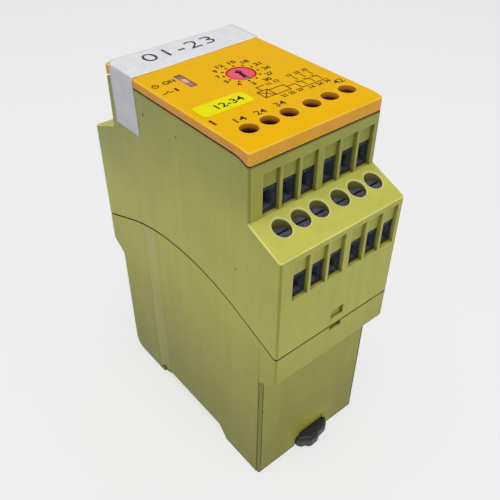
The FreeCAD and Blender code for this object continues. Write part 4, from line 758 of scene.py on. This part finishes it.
# ---------------------------------------------------------------- tape label
def tape_piece():
    drop = 104.5
    thick = 0.10
    nu, path_pts = 24, []
    right = HALF_W + 0.1
    steps = 46
    fold_r = 0.50
    for i in range(steps + 1):
        path_pts.append(("top", right + (-(HALF_W) + fold_r - right) * i / steps))
    for i in range(1, 7):
        path_pts.append(("fold", math.radians(90 * i / 6)))
    for i in range(1, 19):
        path_pts.append(("flap", i / 18))
    bm = bmesh.new()
    grid = []
    for kind, t in path_pts:
        row = []
        # the strip was stuck on a little askew, so its edges drift across the width
        across = (t + HALF_W) / (2 * HALF_W) if kind == "top" else 0.0
        near, far = 16.75 + 1.65 * across, 30.95 + 0.3 * across
        if kind != "top":
            far = 28.6
        elif t < -HALF_W + 1.5:
            far = 28.6 + (far - 28.6) * max(0.0, (t + HALF_W - 0.5) / 1.0)
        for j in range(nu + 1):
            u = j / nu
            y = near + (far - near) * u
            drop_y = shoulder(y) * (0.30 if kind == "top" else 1.0)
            wob = 0.018 * math.sin(2.3 * y + 0.35 * (t if kind == "top" else 0)) + 0.012 * math.sin(0.9 * (t if kind == "top" else 20) + y)
            if kind == "top":
                lift = 0.08 + wob
                end = max(0.0, (t - (HALF_W - 4.0)) / 4.0)
                lift += 0.20 * end ** 2 * (0.3 + 0.7 * u)
                fold_end = max(0.0, (-HALF_W + 3.0 - t) / 3.0)
                lift += 0.22 * fold_end ** 2
                px, pz = t, TOP - drop_y + lift
            elif kind == "fold":
                px = -HALF_W + fold_r - (fold_r + 0.10) * math.sin(t)
                pz = TOP - drop_y - fold_r + (fold_r + 0.30) * math.cos(t)
            else:
                top_z = TOP - drop_y - fold_r
                pz = top_z + (drop - top_z) * t
                px = -HALF_W - 0.10 - 0.010 * math.sin(pz * 0.9 + y) - 0.10 * max(0.0, t - 0.72) ** 2 / 0.08 * (0.25 + 0.75 * u)
                y -= (0.8 - 0.3 * u) * t
            row.append(bm.verts.new((px, y, pz)))
        grid.append(row)
    for a, b in zip(grid, grid[1:]):
        for j in range(nu):
            bm.faces.new((a[j], a[j + 1], b[j + 1], b[j]))
    bmesh.ops.scale(bm, vec=(MM, MM, MM), verts=bm.verts)
    ob = mesh_object("tape_sheet", bm, M["tape"], smooth=True)
    mod = ob.modifiers.new("thickness", "SOLIDIFY")
    mod.thickness = thick * MM
    mod.offset = 0.0
    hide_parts("tape_label")
    return ob


tape_piece()
mesh_object("tape_digits", lay(text_mesh("01-23", 5.0, 24.4, 1.1, -0.012), -1.3, 25.5, 0.02, 0.24, 0.02, TOP), M["tape_ink"])


# ---------------------------------------------------------------- foot spring
def spring_piece():
    lo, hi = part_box("foot_spring")
    cx, cz = (lo.x + hi.x) / 2, (lo.z + hi.z) / 2
    r = (hi.x - lo.x) / 2 - 0.0002
    y0, y1 = lo.y + 0.0002, hi.y - 0.0002
    turns, per = 7, 16
    n = turns * per
    ring = 8
    bm = bmesh.new()
    rings = []
    for i in range(n + 1):
        a = 2 * math.pi * i / per
        c = Vector((cx + r * math.cos(a), y0 + (y1 - y0) * i / n, cz + r * math.sin(a)))
        tangent = Vector((-math.sin(a) * r, (y1 - y0) / turns / (2 * math.pi), math.cos(a) * r)).normalized()
        out = Vector((math.cos(a), 0, math.sin(a)))
        side = tangent.cross(out)
        rings.append([bm.verts.new(c + out * (0.0002 * math.cos(2 * math.pi * k / ring)) + side * (0.0002 * math.sin(2 * math.pi * k / ring))) for k in range(ring)])
    for a, b in zip(rings, rings[1:]):
        for k in range(ring):
            bm.faces.new((a[k], a[(k + 1) % ring], b[(k + 1) % ring], b[k]))
    bm.faces.new(rings[0])
    bm.faces.new(rings[-1][::-1])
    ob = mesh_object("foot_spring_coil", bm, M["spring"], smooth=True)
    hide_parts("foot_spring")
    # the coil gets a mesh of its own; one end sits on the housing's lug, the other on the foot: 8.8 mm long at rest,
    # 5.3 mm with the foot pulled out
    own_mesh(ob)
    return ob


spring_piece()


def seam_lip(name, side):
    """Inner lip of the lower shell that overlaps the parting seam along one flank, so no light passes the gap."""
    bm = bmesh.new()
    rings = []
    for i in range(61):
        y = -41.0 + 82.0 * i / 60
        if abs(y) < 28.0:
            s = math.sqrt(76.0 ** 2 - y * y) - 2.4
        else:
            s = 68.25 - (abs(y) - 28.0) * 0.397
        section = [(20.30, s - 2.2), (21.0, s - 2.2), (21.0, s - 0.9), (20.80, s - 0.9), (20.80, s + 1.4), (20.30, s + 1.4)]
        rings.append([bm.verts.new((side * x * MM, y * MM, z * MM)) for x, z in section])
    for a, b in zip(rings, rings[1:]):
        for k in range(6):
            bm.faces.new((a[k], a[(k + 1) % 6], b[(k + 1) % 6], b[k]))
    bm.faces.new(rings[0])
    bm.faces.new(rings[-1][::-1])
    return mesh_object(name, bm, M["lower"])


seam_lip("seam_lip_left", -1)
seam_lip("seam_lip_right", 1)

# ---------------------------------------------------------------- stage, light, camera
fm = Mat("floor_paint", roughness=0.9, specular=0.1)
soft = fm.noise(6.0, 2.0, 0.5)
fm.color(fm.mix(soft, (0.20, 0.20, 0.20, 1), (0.21, 0.21, 0.21, 1)))
fm.bsdf.inputs["Emission Color"].default_value = (1.0, 1.0, 1.0, 1.0)
fm.bsdf.inputs["Emission Strength"].default_value = 0.70
bm = bmesh.new()
bmesh.ops.create_grid(bm, x_segments=2, y_segments=2, size=6.0)
me = bpy.data.meshes.new("floor")
bm.to_mesh(me)
bm.free()
floor = bpy.data.objects.new("floor", me)
floor.location = (0, 0, -0.00005)
scene.collection.objects.link(floor)
paint(floor, fm)

world = bpy.data.worlds.new("studio")
world.use_nodes = True
wt = world.node_tree
# pale wall near the horizon, dimmer towards the ceiling
toward = wt.nodes.new("ShaderNodeTexCoord")
split = wt.nodes.new("ShaderNodeSeparateXYZ")
wt.links.new(toward.outputs["Generated"], split.inputs[0])
wall = wt.nodes.new("ShaderNodeMapRange")
wall.interpolation_type = "SMOOTHSTEP"
for k, v in (("From Min", 0.10), ("From Max", 0.62), ("To Min", 0.53), ("To Max", 0.10)):
    wall.inputs[k].default_value = v
wt.links.new(split.outputs[2], wall.inputs["Value"])
wt.nodes["Background"].inputs[0].default_value = (0.97, 0.98, 1.0, 1.0)
wt.links.new(wall.outputs[0], wt.nodes["Background"].inputs[1])
scene.world = world


def area(name, at, target, size, power, color=(1, 1, 1)):
    light = bpy.data.lights.new(name, "AREA")
    light.shape = "RECTANGLE"
    light.size, light.size_y = size
    light.energy = power
    light.color = color
    ob = bpy.data.objects.new(name, light)
    ob.location = at
    ob.rotation_mode = "QUATERNION"
    ob.rotation_quaternion = (Vector(target) - Vector(at)).to_track_quat("-Z", "Y")
    scene.collection.objects.link(ob)
    return ob


area("key_softbox", (-0.05, -0.08, 0.72), (0, 0, 0.07), (0.6, 0.5), 4.0)

AZ, EL, ROLL = math.radians(-40.19592), math.radians(39.76071), math.radians(0.63369)
back = Vector((math.sin(AZ) * math.cos(EL), -math.cos(AZ) * math.cos(EL), math.sin(EL)))
right = Vector((0, 0, 1)).cross(back).normalized()
up = back.cross(right)
R = math.cos(ROLL) * right + math.sin(ROLL) * up
U = -math.sin(ROLL) * right + math.cos(ROLL) * up
place = Vector((0, 0, 0.060)) + back * 0.20553718 + R * 0.00377866 + U * 0.0012242
cam_data = bpy.data.cameras.new("camera")
cam_data.sensor_width = 36.0
cam_data.lens = 36.0 * 624.06069 / 500.0
cam_data.clip_start = 0.005
cam_data.clip_end = 30.0
cam = bpy.data.objects.new("camera", cam_data)
cam.matrix_world = Matrix((
    (R.x, U.x, back.x, place.x),
    (R.y, U.y, back.y, place.y),
    (R.z, U.z, back.z, place.z),
    (0, 0, 0, 1)))
scene.collection.objects.link(cam)
scene.camera = cam
